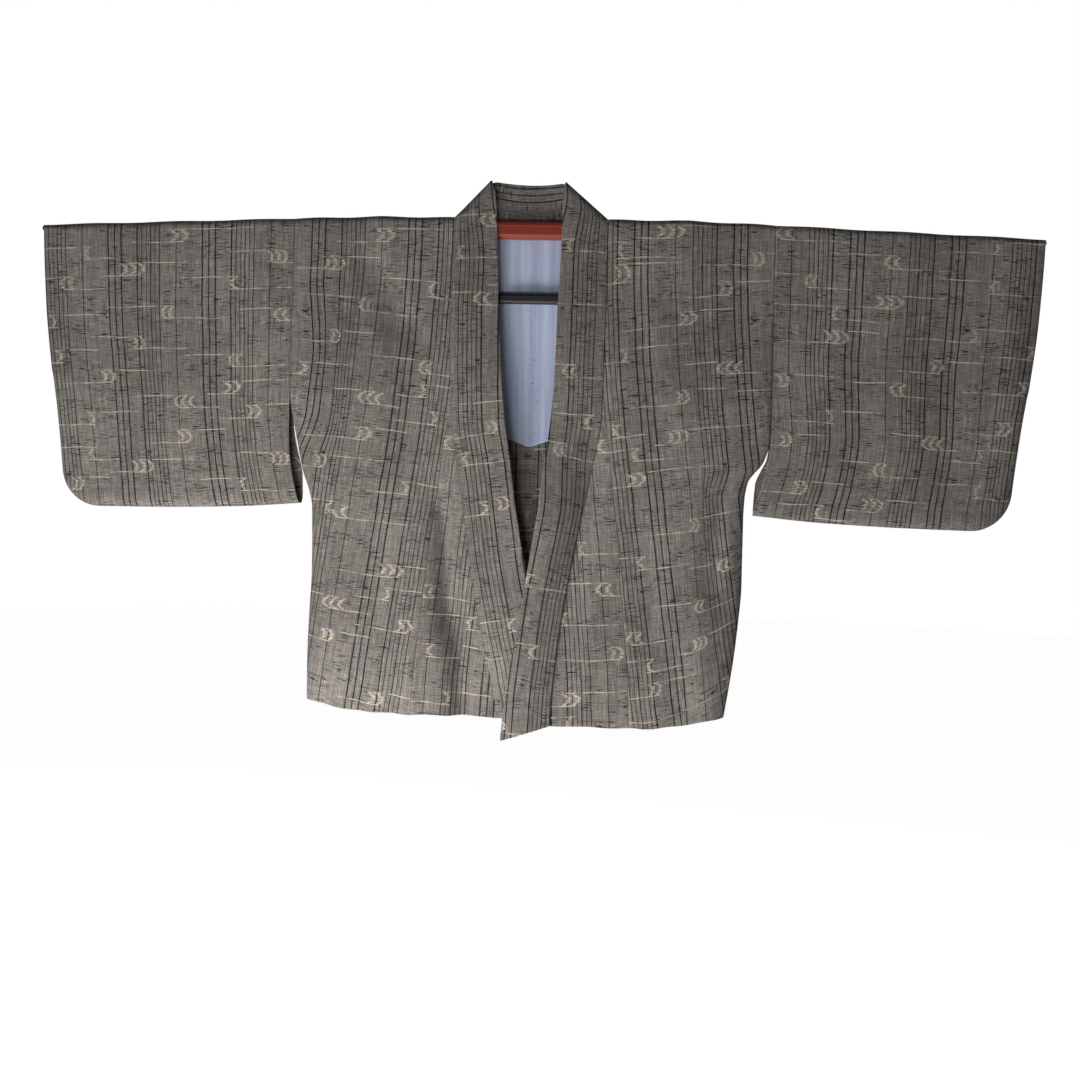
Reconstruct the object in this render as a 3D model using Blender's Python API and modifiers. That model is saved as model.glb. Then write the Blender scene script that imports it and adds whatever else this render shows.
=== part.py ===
"""Haori jacket of striped woven cloth, hung flat over a two-bar kimono hanger.

Metres, +Z up. The origin is the middle of the hanger's upper bar, +X runs along the bar
towards the wearer's left, and the jacket's front faces -Y. Left and right are the wearer's.
Each piece that is cut and sewn is a thin wall of its own, 0.3 mm from its neighbour.
"""

import math
from collections import namedtuple

import bmesh
import bpy

COLLECTION_NAME = "haori_jacket"

# Cloth
CLOTH_WALL = 0.0013
COLLAR_WALL = 0.0024  # doubled cloth
LINING_WALL = 0.0010
SEAM_GAP = 0.0003

# Hanger
BAR_HEIGHT = 0.024
BAR_THICKNESS = 0.012
BAR_HALF_LENGTH = 0.600
BAR_LEVEL_HALF = 0.200  # beyond it the arms slope down
ARM_SLOPE = 0.0385
LOWER_BAR_HEIGHT = 0.014
LOWER_BAR_THICKNESS = 0.008
LOWER_BAR_HALF_LENGTH = 0.190
LOWER_BAR_DROP = 0.088  # from bar centre to bar centre
LINK_X = 0.165
LINK_WIDTH = 0.010
LINK_THICKNESS = 0.005

# Shoulder ridge: the cloth's middle surface turns over the bar on this arc
RIDGE_RADIUS = 0.0086
RIDGE_Z = 0.006
RIDGE_ANGLES = (-90, -55, -20, 20, 55, 90)  # degrees from straight up, front to back

# Cut
SHOULDER_HALF = 0.308  # centre-back seam to sleeve seam
SLEEVE_WIDTH = 0.334
SLEEVE_CORNER = 0.048
CUFF_OPENING_END = -0.190
SIDE_SEAM_TOP = -0.314
OKUMI_TOP = -0.238
NECK_DIP = -0.008  # lowest point of the back neck seam

# Depth of the hanging cloth, from the mid plane to the cloth's middle surface
HANG_DEPTH = 0.020
HANG_DEPTH_LEVEL = -0.210
SIDE_ROUNDING = 0.045
SIDE_SEAM_HALF_GAP = 0.0006
SIDE_INSET = 0.0009  # half a wall and half a gap: the cloth faces sideways at its side edge
SLEEVE_DEPTH = 0.0105
SLEEVE_ROUNDING = 0.012
LAP_TOP = -0.300
LAP_FULL = -0.420
LAP_REACH = 0.170

# Collar
COLLAR_TURN_LEVEL = -0.050  # above it the band turns towards the shoulder crease
COLLAR_TURN_LIFT = 0.040
COLLAR_BACK_TOP = 0.058
COLLAR_BACK_LEAN = 0.011
COLLAR_CREASE_HALF = 0.005
COLLAR_RIDGE_INSET = 0.0011  # the thick band leans here, so its corner reaches past its seam
COLLAR_TIP_DROP = 0.019
COLLAR_TIP_START = -0.400
COLLAR_COLUMNS = (0.0, 0.3, 0.7, 1.0)

# Lining
LINING_EDGE = -0.268
LINING_TOP = -0.020
LINING_DIP = 0.011
LINING_DIP_HALF = 0.020
LINING_COLUMN_LIMIT = 0.96
LINING_OFFSET_TOP = 0.0017
LINING_OFFSET_LOW = 0.0030

BACK_SEAM_LEAN = 0.0075
BACK_SEAM_LEAN_LEVEL = -0.330
BACK_HEM = -0.614
HEM_RISE_START = -0.400

Side = namedtuple("Side", "name sign hem hem_rise lap crease_x crease_z seam_x")
SIDES = (
    Side("right", -1, hem=-0.6225, hem_rise=0.0135, lap=-0.001,
         crease_x=0.055, crease_z=0.062, seam_x=0.101),
    Side("left", 1, hem=-0.6290, hem_rise=0.0230, lap=0.005,
         crease_x=0.041, crease_z=0.061, seam_x=0.096),
)

# Distance of each side edge of the body from the centre line, by level
SideEdge = namedtuple("SideEdge", "z right left")
SIDE_EDGE = (
    SideEdge(0.020, 0.308, 0.308),
    SideEdge(-0.228, 0.308, 0.308),
    SideEdge(-0.256, 0.303, 0.308),
    SideEdge(-0.285, 0.298, 0.301),
    SideEdge(-0.314, 0.291, 0.2815),
    SideEdge(-0.335, 0.283, 0.278),
    SideEdge(-0.360, 0.2765, 0.277),
    SideEdge(-0.450, 0.275, 0.277),
    SideEdge(-0.510, 0.277, 0.2735),
    SideEdge(-0.560, 0.278, 0.269),
    SideEdge(-0.640, 0.277, 0.257),
)

# Half the body's depth at its side edge, by level: open at the armhole, closed at the side seam
SideDepth = namedtuple("SideDepth", "z depth")
SIDE_DEPTH = (
    SideDepth(0.020, RIDGE_RADIUS),
    SideDepth(RIDGE_Z, RIDGE_RADIUS),
    SideDepth(-0.100, 0.0100),
    SideDepth(-0.200, 0.0105),
    SideDepth(-0.256, 0.0080),
    SideDepth(-0.290, 0.0040),
    SideDepth(SIDE_SEAM_TOP, SIDE_SEAM_HALF_GAP),
    SideDepth(-0.640, SIDE_SEAM_HALF_GAP),
)

# Collar seam and free edge, by level, as distances from the centre line on the wearer's side.
# A negative distance has crossed the centre.
CollarLevel = namedtuple("CollarLevel", "z seam_right seam_left edge_right edge_left")
COLLAR_LEVELS = (
    CollarLevel(0.062, 0.101, 0.096, 0.055, 0.041),
    CollarLevel(0.042, 0.101, 0.096, 0.049, 0.039),
    CollarLevel(0.000, 0.101, 0.096, 0.046, 0.039),
    CollarLevel(-0.057, 0.101, 0.096, 0.043, 0.038),
    CollarLevel(-0.100, 0.101, 0.096, 0.041, 0.0365),
    CollarLevel(-0.185, 0.099, 0.095, 0.035, 0.035),
    CollarLevel(-0.240, 0.097, 0.094, 0.029, 0.032),
    CollarLevel(-0.300, 0.087, 0.084, 0.020, 0.025),
    CollarLevel(-0.355, 0.079, 0.0735, 0.012, 0.019),
    CollarLevel(-0.435, 0.067, 0.0595, -0.003, 0.008),
    CollarLevel(-0.508, 0.052, 0.0485, -0.015, -0.0025),
    CollarLevel(-0.582, 0.035, 0.0415, -0.030, -0.015),
    CollarLevel(-0.640, 0.024, 0.0390, -0.040, -0.0205),
)

# Seam between front and okumi
OkumiSeam = namedtuple("OkumiSeam", "z x")
OKUMI_SEAM = (
    OkumiSeam(OKUMI_TOP, 0.0985),
    OkumiSeam(-0.275, 0.1055),
    OkumiSeam(-0.320, 0.1105),
    OkumiSeam(-0.385, 0.1185),
    OkumiSeam(-0.465, 0.1265),
    OkumiSeam(-0.565, 0.1360),
    OkumiSeam(-0.640, 0.1405),
)

# Sleeve outlines: cuff edge by level, bottom edge by distance from the centre
CuffEdge = namedtuple("CuffEdge", "z x")
CUFF_EDGE = (
    CuffEdge(0.020, 0.6425),
    CuffEdge(-0.004, 0.6420),
    CuffEdge(-0.110, 0.6355),
    CuffEdge(-0.183, 0.6270),
    CuffEdge(-0.244, 0.6180),
    CuffEdge(-0.320, 0.6090),
    CuffEdge(-0.380, 0.6040),
)
BottomEdge = namedtuple("BottomEdge", "x z")
BOTTOM_EDGE = (
    BottomEdge(0.290, -0.3555),
    BottomEdge(0.404, -0.3640),
    BottomEdge(0.517, -0.3675),
    BottomEdge(0.642, -0.3690),
)

# Open body-side edges of the sleeve below the armhole, front and back layer
SleeveInner = namedtuple("SleeveInner", "z front_right back_right front_left back_left")
SLEEVE_INNER = (
    SleeveInner(0.020, 0.3080, 0.3080, 0.3080, 0.3080),
    SleeveInner(-0.228, 0.3080, 0.3080, 0.3080, 0.3080),
    SleeveInner(-0.256, 0.3075, 0.3065, 0.3085, 0.3085),
    SleeveInner(-0.285, 0.3060, 0.3015, 0.3060, 0.3055),
    SleeveInner(-0.300, 0.3045, 0.2975, 0.3030, 0.2985),
    SleeveInner(-0.318, 0.3015, 0.2935, 0.2985, 0.2915),
    SleeveInner(-0.356, 0.2930, 0.2920, 0.2880, 0.2890),
    SleeveInner(-0.380, 0.2900, 0.2910, 0.2870, 0.2880),
)

# Largest folds: soft troughs (positive depth, pressed inwards) or ridges along a line, in metres
Fold = namedtuple("Fold", "piece x0 z0 x1 z1 reach depth")
FOLDS = (
    Fold("front_right", -0.240, -0.010, -0.150, -0.165, 0.024, 0.0050),
    Fold("front_right", -0.152, -0.160, -0.140, -0.500, 0.024, 0.0050),
    Fold("front_right", -0.215, -0.250, -0.225, -0.600, 0.034, -0.0035),
    Fold("front_left", 0.246, -0.290, 0.240, -0.500, 0.020, 0.0065),
    Fold("front_left", 0.150, -0.080, 0.205, -0.270, 0.026, -0.0035),
    Fold("front_left", 0.190, -0.500, 0.202, -0.640, 0.022, 0.0045),
    Fold("back_right", -0.090, -0.180, -0.075, -0.640, 0.030, 0.0050),
    Fold("back_right", -0.205, -0.100, -0.190, -0.560, 0.028, 0.0045),
    Fold("back_left", 0.105, -0.150, 0.120, -0.600, 0.028, 0.0050),
    Fold("back_left", 0.215, -0.220, 0.200, -0.640, 0.026, 0.0040),
    Fold("sleeve_front", 0.410, -0.040, 0.404, -0.345, 0.026, 0.0032),
    Fold("sleeve_front", 0.532, -0.120, 0.525, -0.350, 0.024, 0.0032),
    Fold("sleeve_back", 0.370, -0.050, 0.378, -0.330, 0.028, 0.0030),
    Fold("sleeve_back", 0.490, -0.030, 0.484, -0.300, 0.026, 0.0032),
)

FRONT_LEVELS = (-0.598, -0.566, -0.534, -0.502, -0.468, -0.434, -0.400, -0.368, -0.340,
                SIDE_SEAM_TOP, -0.285, -0.256, OKUMI_TOP, -0.228, -0.195, -0.155, -0.115,
                -0.080, -0.050, -0.030, -0.010)
BACK_LEVELS = (-0.020, -0.050, -0.090, -0.135, -0.180, -0.228, -0.256, LINING_EDGE, -0.290,
               SIDE_SEAM_TOP, -0.340, -0.372, -0.410, -0.450, -0.490, -0.530, -0.572)
NECK_STEPS = 5
BODY_COLUMNS = (0.0, 0.16, 0.32, 0.48, 0.63, 0.77, 0.88, 0.95, 0.985, 1.0)
OKUMI_COLUMNS = (0.0, 0.5, 1.0)
SLEEVE_COLUMNS = 6  # across the plain width, before the rounded corner
SLEEVE_CORNER_STEPS = 5
SLEEVE_ROWS = (0.0, 0.16, 0.34, 0.52, 0.62, 0.74, 0.86, 0.955, 0.987, 1.0)

RUST_RED = (0.42, 0.075, 0.025)
BLACK = (0.012, 0.013, 0.013)
CLOTH_GREY = (0.150, 0.130, 0.112)
LINING_BLUE = (0.42, 0.47, 0.60)


# ---------------------------------------------------------------- small maths


def smooth(value):
    """Eases a value from 0 to 1, clamped outside."""
    value = min(max(value, 0.0), 1.0)
    return value * value * (3.0 - 2.0 * value)


def mix(start, end, share):
    return start + (end - start) * share


def rounding(distance, reach):
    """Height of a quarter round over its reach: 0 at the edge, 1 from the reach on."""
    near = 1.0 - min(max(distance / reach, 0.0), 1.0)
    return math.sqrt(1.0 - near * near)


def read_table(rows, key, column, place):
    """Reads a column where key is place, on a smooth curve through the rows."""
    keys = [getattr(row, key) for row in rows]
    values = [getattr(row, column) for row in rows]
    if keys[0] > keys[-1]:
        keys.reverse()
        values.reverse()
    place = min(max(place, keys[0]), keys[-1])
    index = 0
    while index < len(keys) - 2 and place > keys[index + 1]:
        index += 1
    slopes = [(values[i + 1] - values[i]) / (keys[i + 1] - keys[i]) for i in range(len(keys) - 1)]

    def tangent(i):
        if i == 0:
            return slopes[0]
        if i == len(keys) - 1:
            return slopes[-1]
        if slopes[i - 1] * slopes[i] <= 0.0:
            return 0.0
        return 2.0 * slopes[i - 1] * slopes[i] / (slopes[i - 1] + slopes[i])

    span = keys[index + 1] - keys[index]
    t = (place - keys[index]) / span
    start, end = values[index], values[index + 1]
    lean_start, lean_end = tangent(index) * span, tangent(index + 1) * span
    return (start * (2 * t**3 - 3 * t**2 + 1) + end * (3 * t**2 - 2 * t**3)
            + lean_start * (t**3 - 2 * t**2 + t) + lean_end * (t**3 - t**2))


# ---------------------------------------------------------------- the hanging form


def arm_drop(x):
    """How far the hanger's arm has sloped down at x."""
    return ARM_SLOPE * max(0.0, abs(x) - BAR_LEVEL_HALF)


def fold_depth(piece, x, z):
    """Sum of the folds of a piece at a point, positive inwards."""
    total = 0.0
    for fold in FOLDS:
        if fold.piece != piece:
            continue
        run_x, run_z = fold.x1 - fold.x0, fold.z1 - fold.z0
        length = math.hypot(run_x, run_z)
        along = ((x - fold.x0) * run_x + (z - fold.z0) * run_z) / length
        away = ((x - fold.x0) * run_z - (z - fold.z0) * run_x) / length
        fade = smooth(along / (0.3 * length)) * smooth((length - along) / (0.3 * length))
        total += fold.depth * fade * math.exp(-((away / fold.reach) ** 2))
    return total


def hang_depth(z):
    """Half the body's depth away from its sides."""
    return mix(RIDGE_RADIUS, HANG_DEPTH, smooth((RIDGE_Z - z) / (RIDGE_Z - HANG_DEPTH_LEVEL)))


def side_edge(side, z):
    return read_table(SIDE_EDGE, "z", side.name, z)


def body_depth(side, x, z):
    """Half the body's depth at a point, drawn in towards the side edge."""
    edge = side_edge(side, z)
    edge_depth = read_table(SIDE_DEPTH, "z", "depth", z)
    share = rounding(edge - abs(x), SIDE_ROUNDING)
    return mix(edge_depth, hang_depth(z), share)


def front_y(side, x, z):
    """Front middle surface. The wearer's left front lies over the right one."""
    lap = side.lap * smooth((LAP_TOP - z) / (LAP_TOP - LAP_FULL)) * smooth((LAP_REACH - side.sign * x) / 0.09)
    return -(body_depth(side, x, z) + lap) + fold_depth("front_" + side.name, x, z)


def back_y(side, x, z):
    return body_depth(side, x, z) - fold_depth("back_" + side.name, x, z)


def back_seam_x(z):
    """The centre-back seam hangs a little off the centre line."""
    return BACK_SEAM_LEAN * smooth((NECK_DIP - z) / (NECK_DIP - BACK_SEAM_LEAN_LEVEL))


def hem_lift(side, x, z):
    """The hem rises towards the side seam."""
    beyond = max(0.0, abs(x) - 0.140) / 0.137
    return side.hem_rise * beyond**2 * smooth((HEM_RISE_START - z) / 0.2)


def front_inner(side, z):
    """Inner edge of the front: collar seam above the okumi, okumi seam below."""
    if z >= OKUMI_TOP:
        return read_table(COLLAR_LEVELS, "z", "seam_" + side.name, z)
    return read_table(OKUMI_SEAM, "z", "x", z)


def collar_seam(side, z):
    return read_table(COLLAR_LEVELS, "z", "seam_" + side.name, z)


def neck_rows(side):
    """Back neck seam, an elliptical quarter from the shoulder to the centre: (x, z) pairs."""
    top = RIDGE_Z + RIDGE_RADIUS
    drop = top - NECK_DIP
    start = math.asin((top - RIDGE_Z) / drop)
    angles = [mix(start, math.pi / 2, step / NECK_STEPS) for step in range(1, NECK_STEPS + 1)]
    return [(side.seam_x * math.cos(a), top - drop * math.sin(a)) for a in angles]


def neck_x(side, z):
    top = RIDGE_Z + RIDGE_RADIUS
    down = (top - z) / (top - NECK_DIP)
    return side.seam_x * math.sqrt(max(0.0, 1.0 - down * down))


# ---------------------------------------------------------------- the pieces' grids


def body_grid(side):
    """Rows of points from the front hem over the shoulder to the back hem."""
    rows = []

    def add_row(inner, outer, place):
        rows.append([place(mix(inner, outer, share)) for share in BODY_COLUMNS])

    def hanging(layer_y, level):
        def place(x):
            z = level + hem_lift(side, x, level) - arm_drop(x) * smooth((level + 0.5) / 0.3)
            return (x, layer_y(side, x, level), z)
        return place

    for level in (side.hem,) + FRONT_LEVELS:
        inner = side.sign * (front_inner(side, level) + SEAM_GAP / 2)
        outer = side.sign * (side_edge(side, level) - SIDE_INSET)
        add_row(inner, outer, hanging(front_y, level))
    for angle in RIDGE_ANGLES:
        turn = math.radians(angle)
        height = RIDGE_Z + RIDGE_RADIUS * math.cos(turn)
        inner = side.seam_x if angle < 0 else neck_x(side, height)
        inner = side.sign * (inner + SEAM_GAP / 2)
        outer = side.sign * (SHOULDER_HALF - SEAM_GAP / 2)
        add_row(inner, outer, lambda x: (x, RIDGE_RADIUS * math.sin(turn), height - arm_drop(x)))
    for inner_x, level in neck_rows(side):
        level -= SEAM_GAP / 2
        inner = side.sign * (inner_x + SEAM_GAP / 2)
        outer = side.sign * (SHOULDER_HALF - SEAM_GAP / 2)
        add_row(inner, outer, hanging(back_y, level))
    for level in BACK_LEVELS + (BACK_HEM,):
        inner = back_seam_x(level) + side.sign * SEAM_GAP / 2
        outer = side.sign * (side_edge(side, level) - SIDE_INSET)
        add_row(inner, outer, hanging(back_y, level))
    return rows


def okumi_grid(side):
    """Rows from the hem up to the narrow top of the overlap panel."""
    rows = []
    for level in (side.hem,) + tuple(z for z in FRONT_LEVELS if z < OKUMI_TOP):
        outer = front_inner(side, level) - SEAM_GAP / 2
        inner = collar_seam(side, level) + SEAM_GAP / 2
        xs = [side.sign * mix(inner, outer, share) for share in OKUMI_COLUMNS]
        rows.append([(x, front_y(side, x, level), level) for x in xs])
    return rows


def collar_station(outer, inner, belly=0.0):
    """Points across the band between its seam and its free edge."""
    points = []
    for share in COLLAR_COLUMNS:
        point = [mix(a, b, share) for a, b in zip(outer, inner)]
        point[1] += belly * 4.0 * share * (1.0 - share)
        points.append(tuple(point))
    return points


def collar_front_station(side, level):
    """The band on the front, its free edge lifted where it turns to the shoulder crease."""
    seam = collar_seam(side, level) - SEAM_GAP / 2
    turn = smooth((level - COLLAR_TURN_LEVEL) / (RIDGE_Z - COLLAR_TURN_LEVEL))
    tip = COLLAR_TIP_DROP * smooth((COLLAR_TIP_START - level) / (COLLAR_TIP_START - side.hem))
    edge_z = level + COLLAR_TURN_LIFT * turn - (tip if side.sign > 0 else 0.0)
    edge = read_table(COLLAR_LEVELS, "z", "edge_" + side.name, edge_z)
    outer = (side.sign * seam, front_y(side, side.sign * seam, level), level)
    edge_y = mix(front_y(side, side.sign * edge, level), -COLLAR_CREASE_HALF, turn**3)
    inner = (side.sign * edge, edge_y, edge_z)
    return collar_station(outer, inner, -0.0008 * (1.0 - turn))


def collar_ridge_station(side, angle):
    """The band over the shoulder: a round turn on the bar, a sharp crease at the free edge."""
    turn = math.radians(angle)
    height = RIDGE_Z + RIDGE_RADIUS * math.cos(turn)
    seam = side.seam_x if angle < 0 else neck_x(side, height)
    inset = SEAM_GAP / 2 + COLLAR_RIDGE_INSET * math.cos(turn)
    outer = (side.sign * (seam - inset), RIDGE_RADIUS * math.sin(turn), height)
    lifted = RIDGE_Z + COLLAR_TURN_LIFT
    share = math.cos(turn)
    edge_z = mix(lifted if angle < 0 else side.crease_z - 0.002, side.crease_z, share)
    edge_x = read_table(COLLAR_LEVELS, "z", "edge_" + side.name, edge_z) if angle < 0 else side.crease_x
    inner = (side.sign * edge_x, COLLAR_CREASE_HALF * math.sin(turn), edge_z)
    return collar_station(outer, inner)


def collar_back_station(side, neck_point):
    """The band standing behind the neck."""
    seam_x, seam_z = neck_point
    share = seam_x / side.seam_x
    top_x = side.crease_x * share
    top_z = mix(COLLAR_BACK_TOP, side.crease_z, share**2)
    top_y = mix(COLLAR_BACK_LEAN, COLLAR_CREASE_HALF, share**2)
    outer = (side.sign * max(0.0, seam_x - SEAM_GAP / 2), back_y(side, side.sign * seam_x, seam_z),
             seam_z + SEAM_GAP / 2)
    return collar_station(outer, (side.sign * top_x, top_y, top_z))


def collar_grid():
    """Stations from the right hem round the neck to the left hem."""
    halves = []
    for side in SIDES:
        stations = [collar_front_station(side, level) for level in (side.hem,) + FRONT_LEVELS]
        stations += [collar_ridge_station(side, angle) for angle in RIDGE_ANGLES]
        stations += [collar_back_station(side, point) for point in neck_rows(side)]
        halves.append(stations)
    right, left = halves
    return right + left[-2::-1]


def sleeve_columns():
    """Shares of the sleeve's width: even steps, then the steps of the rounded corner."""
    plain = 1.0 - SLEEVE_CORNER / SLEEVE_WIDTH
    shares = [plain * step / SLEEVE_COLUMNS for step in range(SLEEVE_COLUMNS + 1)]
    for step in range(1, SLEEVE_CORNER_STEPS + 1):
        turn = math.radians(90.0 * step / SLEEVE_CORNER_STEPS)
        shares.append(plain + (1.0 - plain) * math.sin(turn))
    return shares


def sleeve_bottom(share):
    """Level of the sleeve's bottom edge, rounded up to the cuff edge at the corner."""
    x = mix(SHOULDER_HALF, SHOULDER_HALF + SLEEVE_WIDTH, share)
    level = read_table(BOTTOM_EDGE, "x", "z", x)
    into_corner = (share - 1.0) * SLEEVE_WIDTH / SLEEVE_CORNER + 1.0
    if into_corner > 0.0:
        level += SLEEVE_CORNER * (1.0 - math.sqrt(max(0.0, 1.0 - into_corner**2)))
    return level


def sleeve_point(side, layer, share, row):
    """A point of one sleeve layer: share across from body to cuff, row from ridge to bottom."""
    x_plain = mix(SHOULDER_HALF, SHOULDER_HALF + SLEEVE_WIDTH, share)
    top = RIDGE_Z - arm_drop(x_plain)
    bottom = sleeve_bottom(share)
    z = mix(top, bottom, row)
    inner = read_table(SLEEVE_INNER, "z", f"{layer}_{side.name}", z) + SEAM_GAP / 2
    outer = read_table(CUFF_EDGE, "z", "x", z)
    x = mix(inner, outer, share)
    depth = mix(RIDGE_RADIUS, SLEEVE_DEPTH, smooth((top - z) / 0.12))
    closing = rounding(z - bottom, SLEEVE_ROUNDING)
    if z < CUFF_OPENING_END:
        closing *= rounding(outer - x, SLEEVE_ROUNDING)
    folded = fold_depth("sleeve_" + layer, x, z)
    y = max(0.0, depth - folded) * closing
    return (side.sign * x, -y if layer == "front" else y, z)


def sleeve_grid(side):
    """Rows from the front bottom edge over the ridge to the back bottom edge."""
    shares = sleeve_columns()
    rows = [[sleeve_point(side, "front", share, row) for share in shares] for row in reversed(SLEEVE_ROWS)]
    for angle in RIDGE_ANGLES[1:-1]:
        turn = math.radians(angle)
        ridge = []
        for share in shares:
            x = mix(SHOULDER_HALF + SEAM_GAP / 2, SHOULDER_HALF + SLEEVE_WIDTH, share)
            height = RIDGE_Z + RIDGE_RADIUS * math.cos(turn) - arm_drop(x)
            ridge.append((side.sign * x, RIDGE_RADIUS * math.sin(turn), height))
        rows.append(ridge)
    rows += [[sleeve_point(side, "back", share, row) for share in shares] for row in SLEEVE_ROWS]
    return rows


def lining_grid():
    """The back panels' own points, moved towards the front, from the neck to the lining's edge."""
    levels = tuple(z for z in BACK_LEVELS if z >= LINING_EDGE)
    columns = [share for share in BODY_COLUMNS if share <= LINING_COLUMN_LIMIT]
    rows = []
    for level in levels:
        row = []
        offset = mix(LINING_OFFSET_TOP, LINING_OFFSET_LOW, smooth((RIDGE_Z - level) / 0.1))
        for side in SIDES:
            inner = back_seam_x(level) + side.sign * SEAM_GAP / 2
            outer = side.sign * (side_edge(side, level) - SIDE_INSET)
            half = []
            for share in columns:
                x = mix(inner, outer, share)
                z = level - arm_drop(x) * smooth((level + 0.5) / 0.3)
                if level == LINING_EDGE:
                    z -= LINING_DIP * smooth(1.0 - abs(x - inner) / LINING_DIP_HALF)
                half.append((x, back_y(side, x, level) - offset, z))
            row += half[::-1] if side.sign < 0 else half[1:]
        rows.append(row)
    return rows


# ---------------------------------------------------------------- building


def make_material(name, colour, roughness, metallic=0.0):
    material = bpy.data.materials.new(name)
    material.use_nodes = True
    shader = material.node_tree.nodes["Principled BSDF"]
    shader.inputs["Base Color"].default_value = (*colour, 1.0)
    shader.inputs["Roughness"].default_value = roughness
    shader.inputs["Metallic"].default_value = metallic
    material.diffuse_color = (*colour, 1.0)
    return material


def make_sheet(collection, name, grid, wall, colour):
    """A wall of even thickness on a grid of points. Points that meet are welded."""
    mesh = bpy.data.meshes.new(name)
    shape = bmesh.new()
    points = [[shape.verts.new(point) for point in row] for row in grid]
    for lower, upper in zip(points, points[1:]):
        for column in range(len(lower) - 1):
            shape.faces.new((lower[column], lower[column + 1], upper[column + 1], upper[column]))
    bmesh.ops.remove_doubles(shape, verts=shape.verts, dist=0.00005)
    bmesh.ops.recalc_face_normals(shape, faces=shape.faces)
    shape.to_mesh(mesh)
    shape.free()
    mesh.shade_smooth()
    sheet = bpy.data.objects.new(name, mesh)
    collection.objects.link(sheet)
    solidify = sheet.modifiers.new("wall", "SOLIDIFY")
    solidify.thickness = wall
    solidify.offset = 0.0
    solidify.use_even_offset = True
    mesh.materials.append(make_material(name, colour, 0.85))
    return sheet


def make_bar(collection, name, path, height, thickness, colour, roughness):
    """A flat bar with round edges along a path: an extruded curve with its caps filled."""
    curve = bpy.data.curves.new(name, "CURVE")
    curve.dimensions = "3D"
    curve.twist_mode = "Z_UP"
    curve.fill_mode = "FULL"
    curve.extrude = (height - thickness) / 2
    curve.bevel_depth = thickness / 2
    curve.bevel_resolution = 2
    curve.use_fill_caps = True
    spline = curve.splines.new("POLY")
    spline.points.add(len(path) - 1)
    for point, place in zip(spline.points, path):
        point.co = (*place, 1.0)
    bar = bpy.data.objects.new(name, curve)
    collection.objects.link(bar)
    curve.materials.append(make_material(name, colour, roughness))
    return bar


def make_link(collection, name, x):
    """A plain flat link that carries the lower bar."""
    top = -BAR_HEIGHT / 2 - SEAM_GAP
    bottom = -LOWER_BAR_DROP + LOWER_BAR_HEIGHT / 2 + SEAM_GAP
    mesh = bpy.data.meshes.new(name)
    shape = bmesh.new()
    bmesh.ops.create_cube(shape, size=1.0)
    bmesh.ops.scale(shape, vec=(LINK_WIDTH, LINK_THICKNESS, top - bottom), verts=shape.verts)
    shape.to_mesh(mesh)
    shape.free()
    link = bpy.data.objects.new(name, mesh)
    link.location = (x, 0.0, (top + bottom) / 2)
    collection.objects.link(link)
    mesh.materials.append(make_material(name, BLACK, 0.35))
    return link


def make_hanger(collection):
    ends = [-BAR_HALF_LENGTH, -BAR_LEVEL_HALF, BAR_LEVEL_HALF, BAR_HALF_LENGTH]
    path = [(x, 0.0, -arm_drop(x)) for x in ends]
    make_bar(collection, "hanger_bar", path, BAR_HEIGHT, BAR_THICKNESS, RUST_RED, 0.35)
    lower = [(x, 0.0, -LOWER_BAR_DROP) for x in (-LOWER_BAR_HALF_LENGTH, LOWER_BAR_HALF_LENGTH)]
    make_bar(collection, "hanger_lower_bar", lower, LOWER_BAR_HEIGHT, LOWER_BAR_THICKNESS, BLACK, 0.3)
    for side in SIDES:
        make_link(collection, "hanger_link_" + side.name, side.sign * LINK_X)


def main():
    for thing in list(bpy.data.objects):
        bpy.data.objects.remove(thing, do_unlink=True)
    collection = bpy.data.collections.new(COLLECTION_NAME)
    bpy.context.scene.collection.children.link(collection)
    for side in SIDES:
        make_sheet(collection, "body_" + side.name, body_grid(side), CLOTH_WALL, CLOTH_GREY)
        make_sheet(collection, "okumi_" + side.name, okumi_grid(side), CLOTH_WALL, CLOTH_GREY)
        make_sheet(collection, "sleeve_" + side.name, sleeve_grid(side), CLOTH_WALL, CLOTH_GREY)
    make_sheet(collection, "collar", collar_grid(), COLLAR_WALL, CLOTH_GREY)
    make_sheet(collection, "back_lining", lining_grid(), LINING_WALL, LINING_BLUE)
    make_hanger(collection)


main()
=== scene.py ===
"""Looks of a haori jacket of striped slub cloth, hung flat over a two-bar kimono hanger.

Metres, +Z up. The origin is the middle of the hanger's upper bar, +X runs along the bar
towards the wearer's left, and the jacket's front faces -Y. Left and right are the wearer's.
"""

import logging
import math
from collections.abc import Callable
from dataclasses import dataclass, field, replace
from enum import Enum

import bmesh
import bpy
import numpy as np
from mathutils import Matrix, Vector


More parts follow.
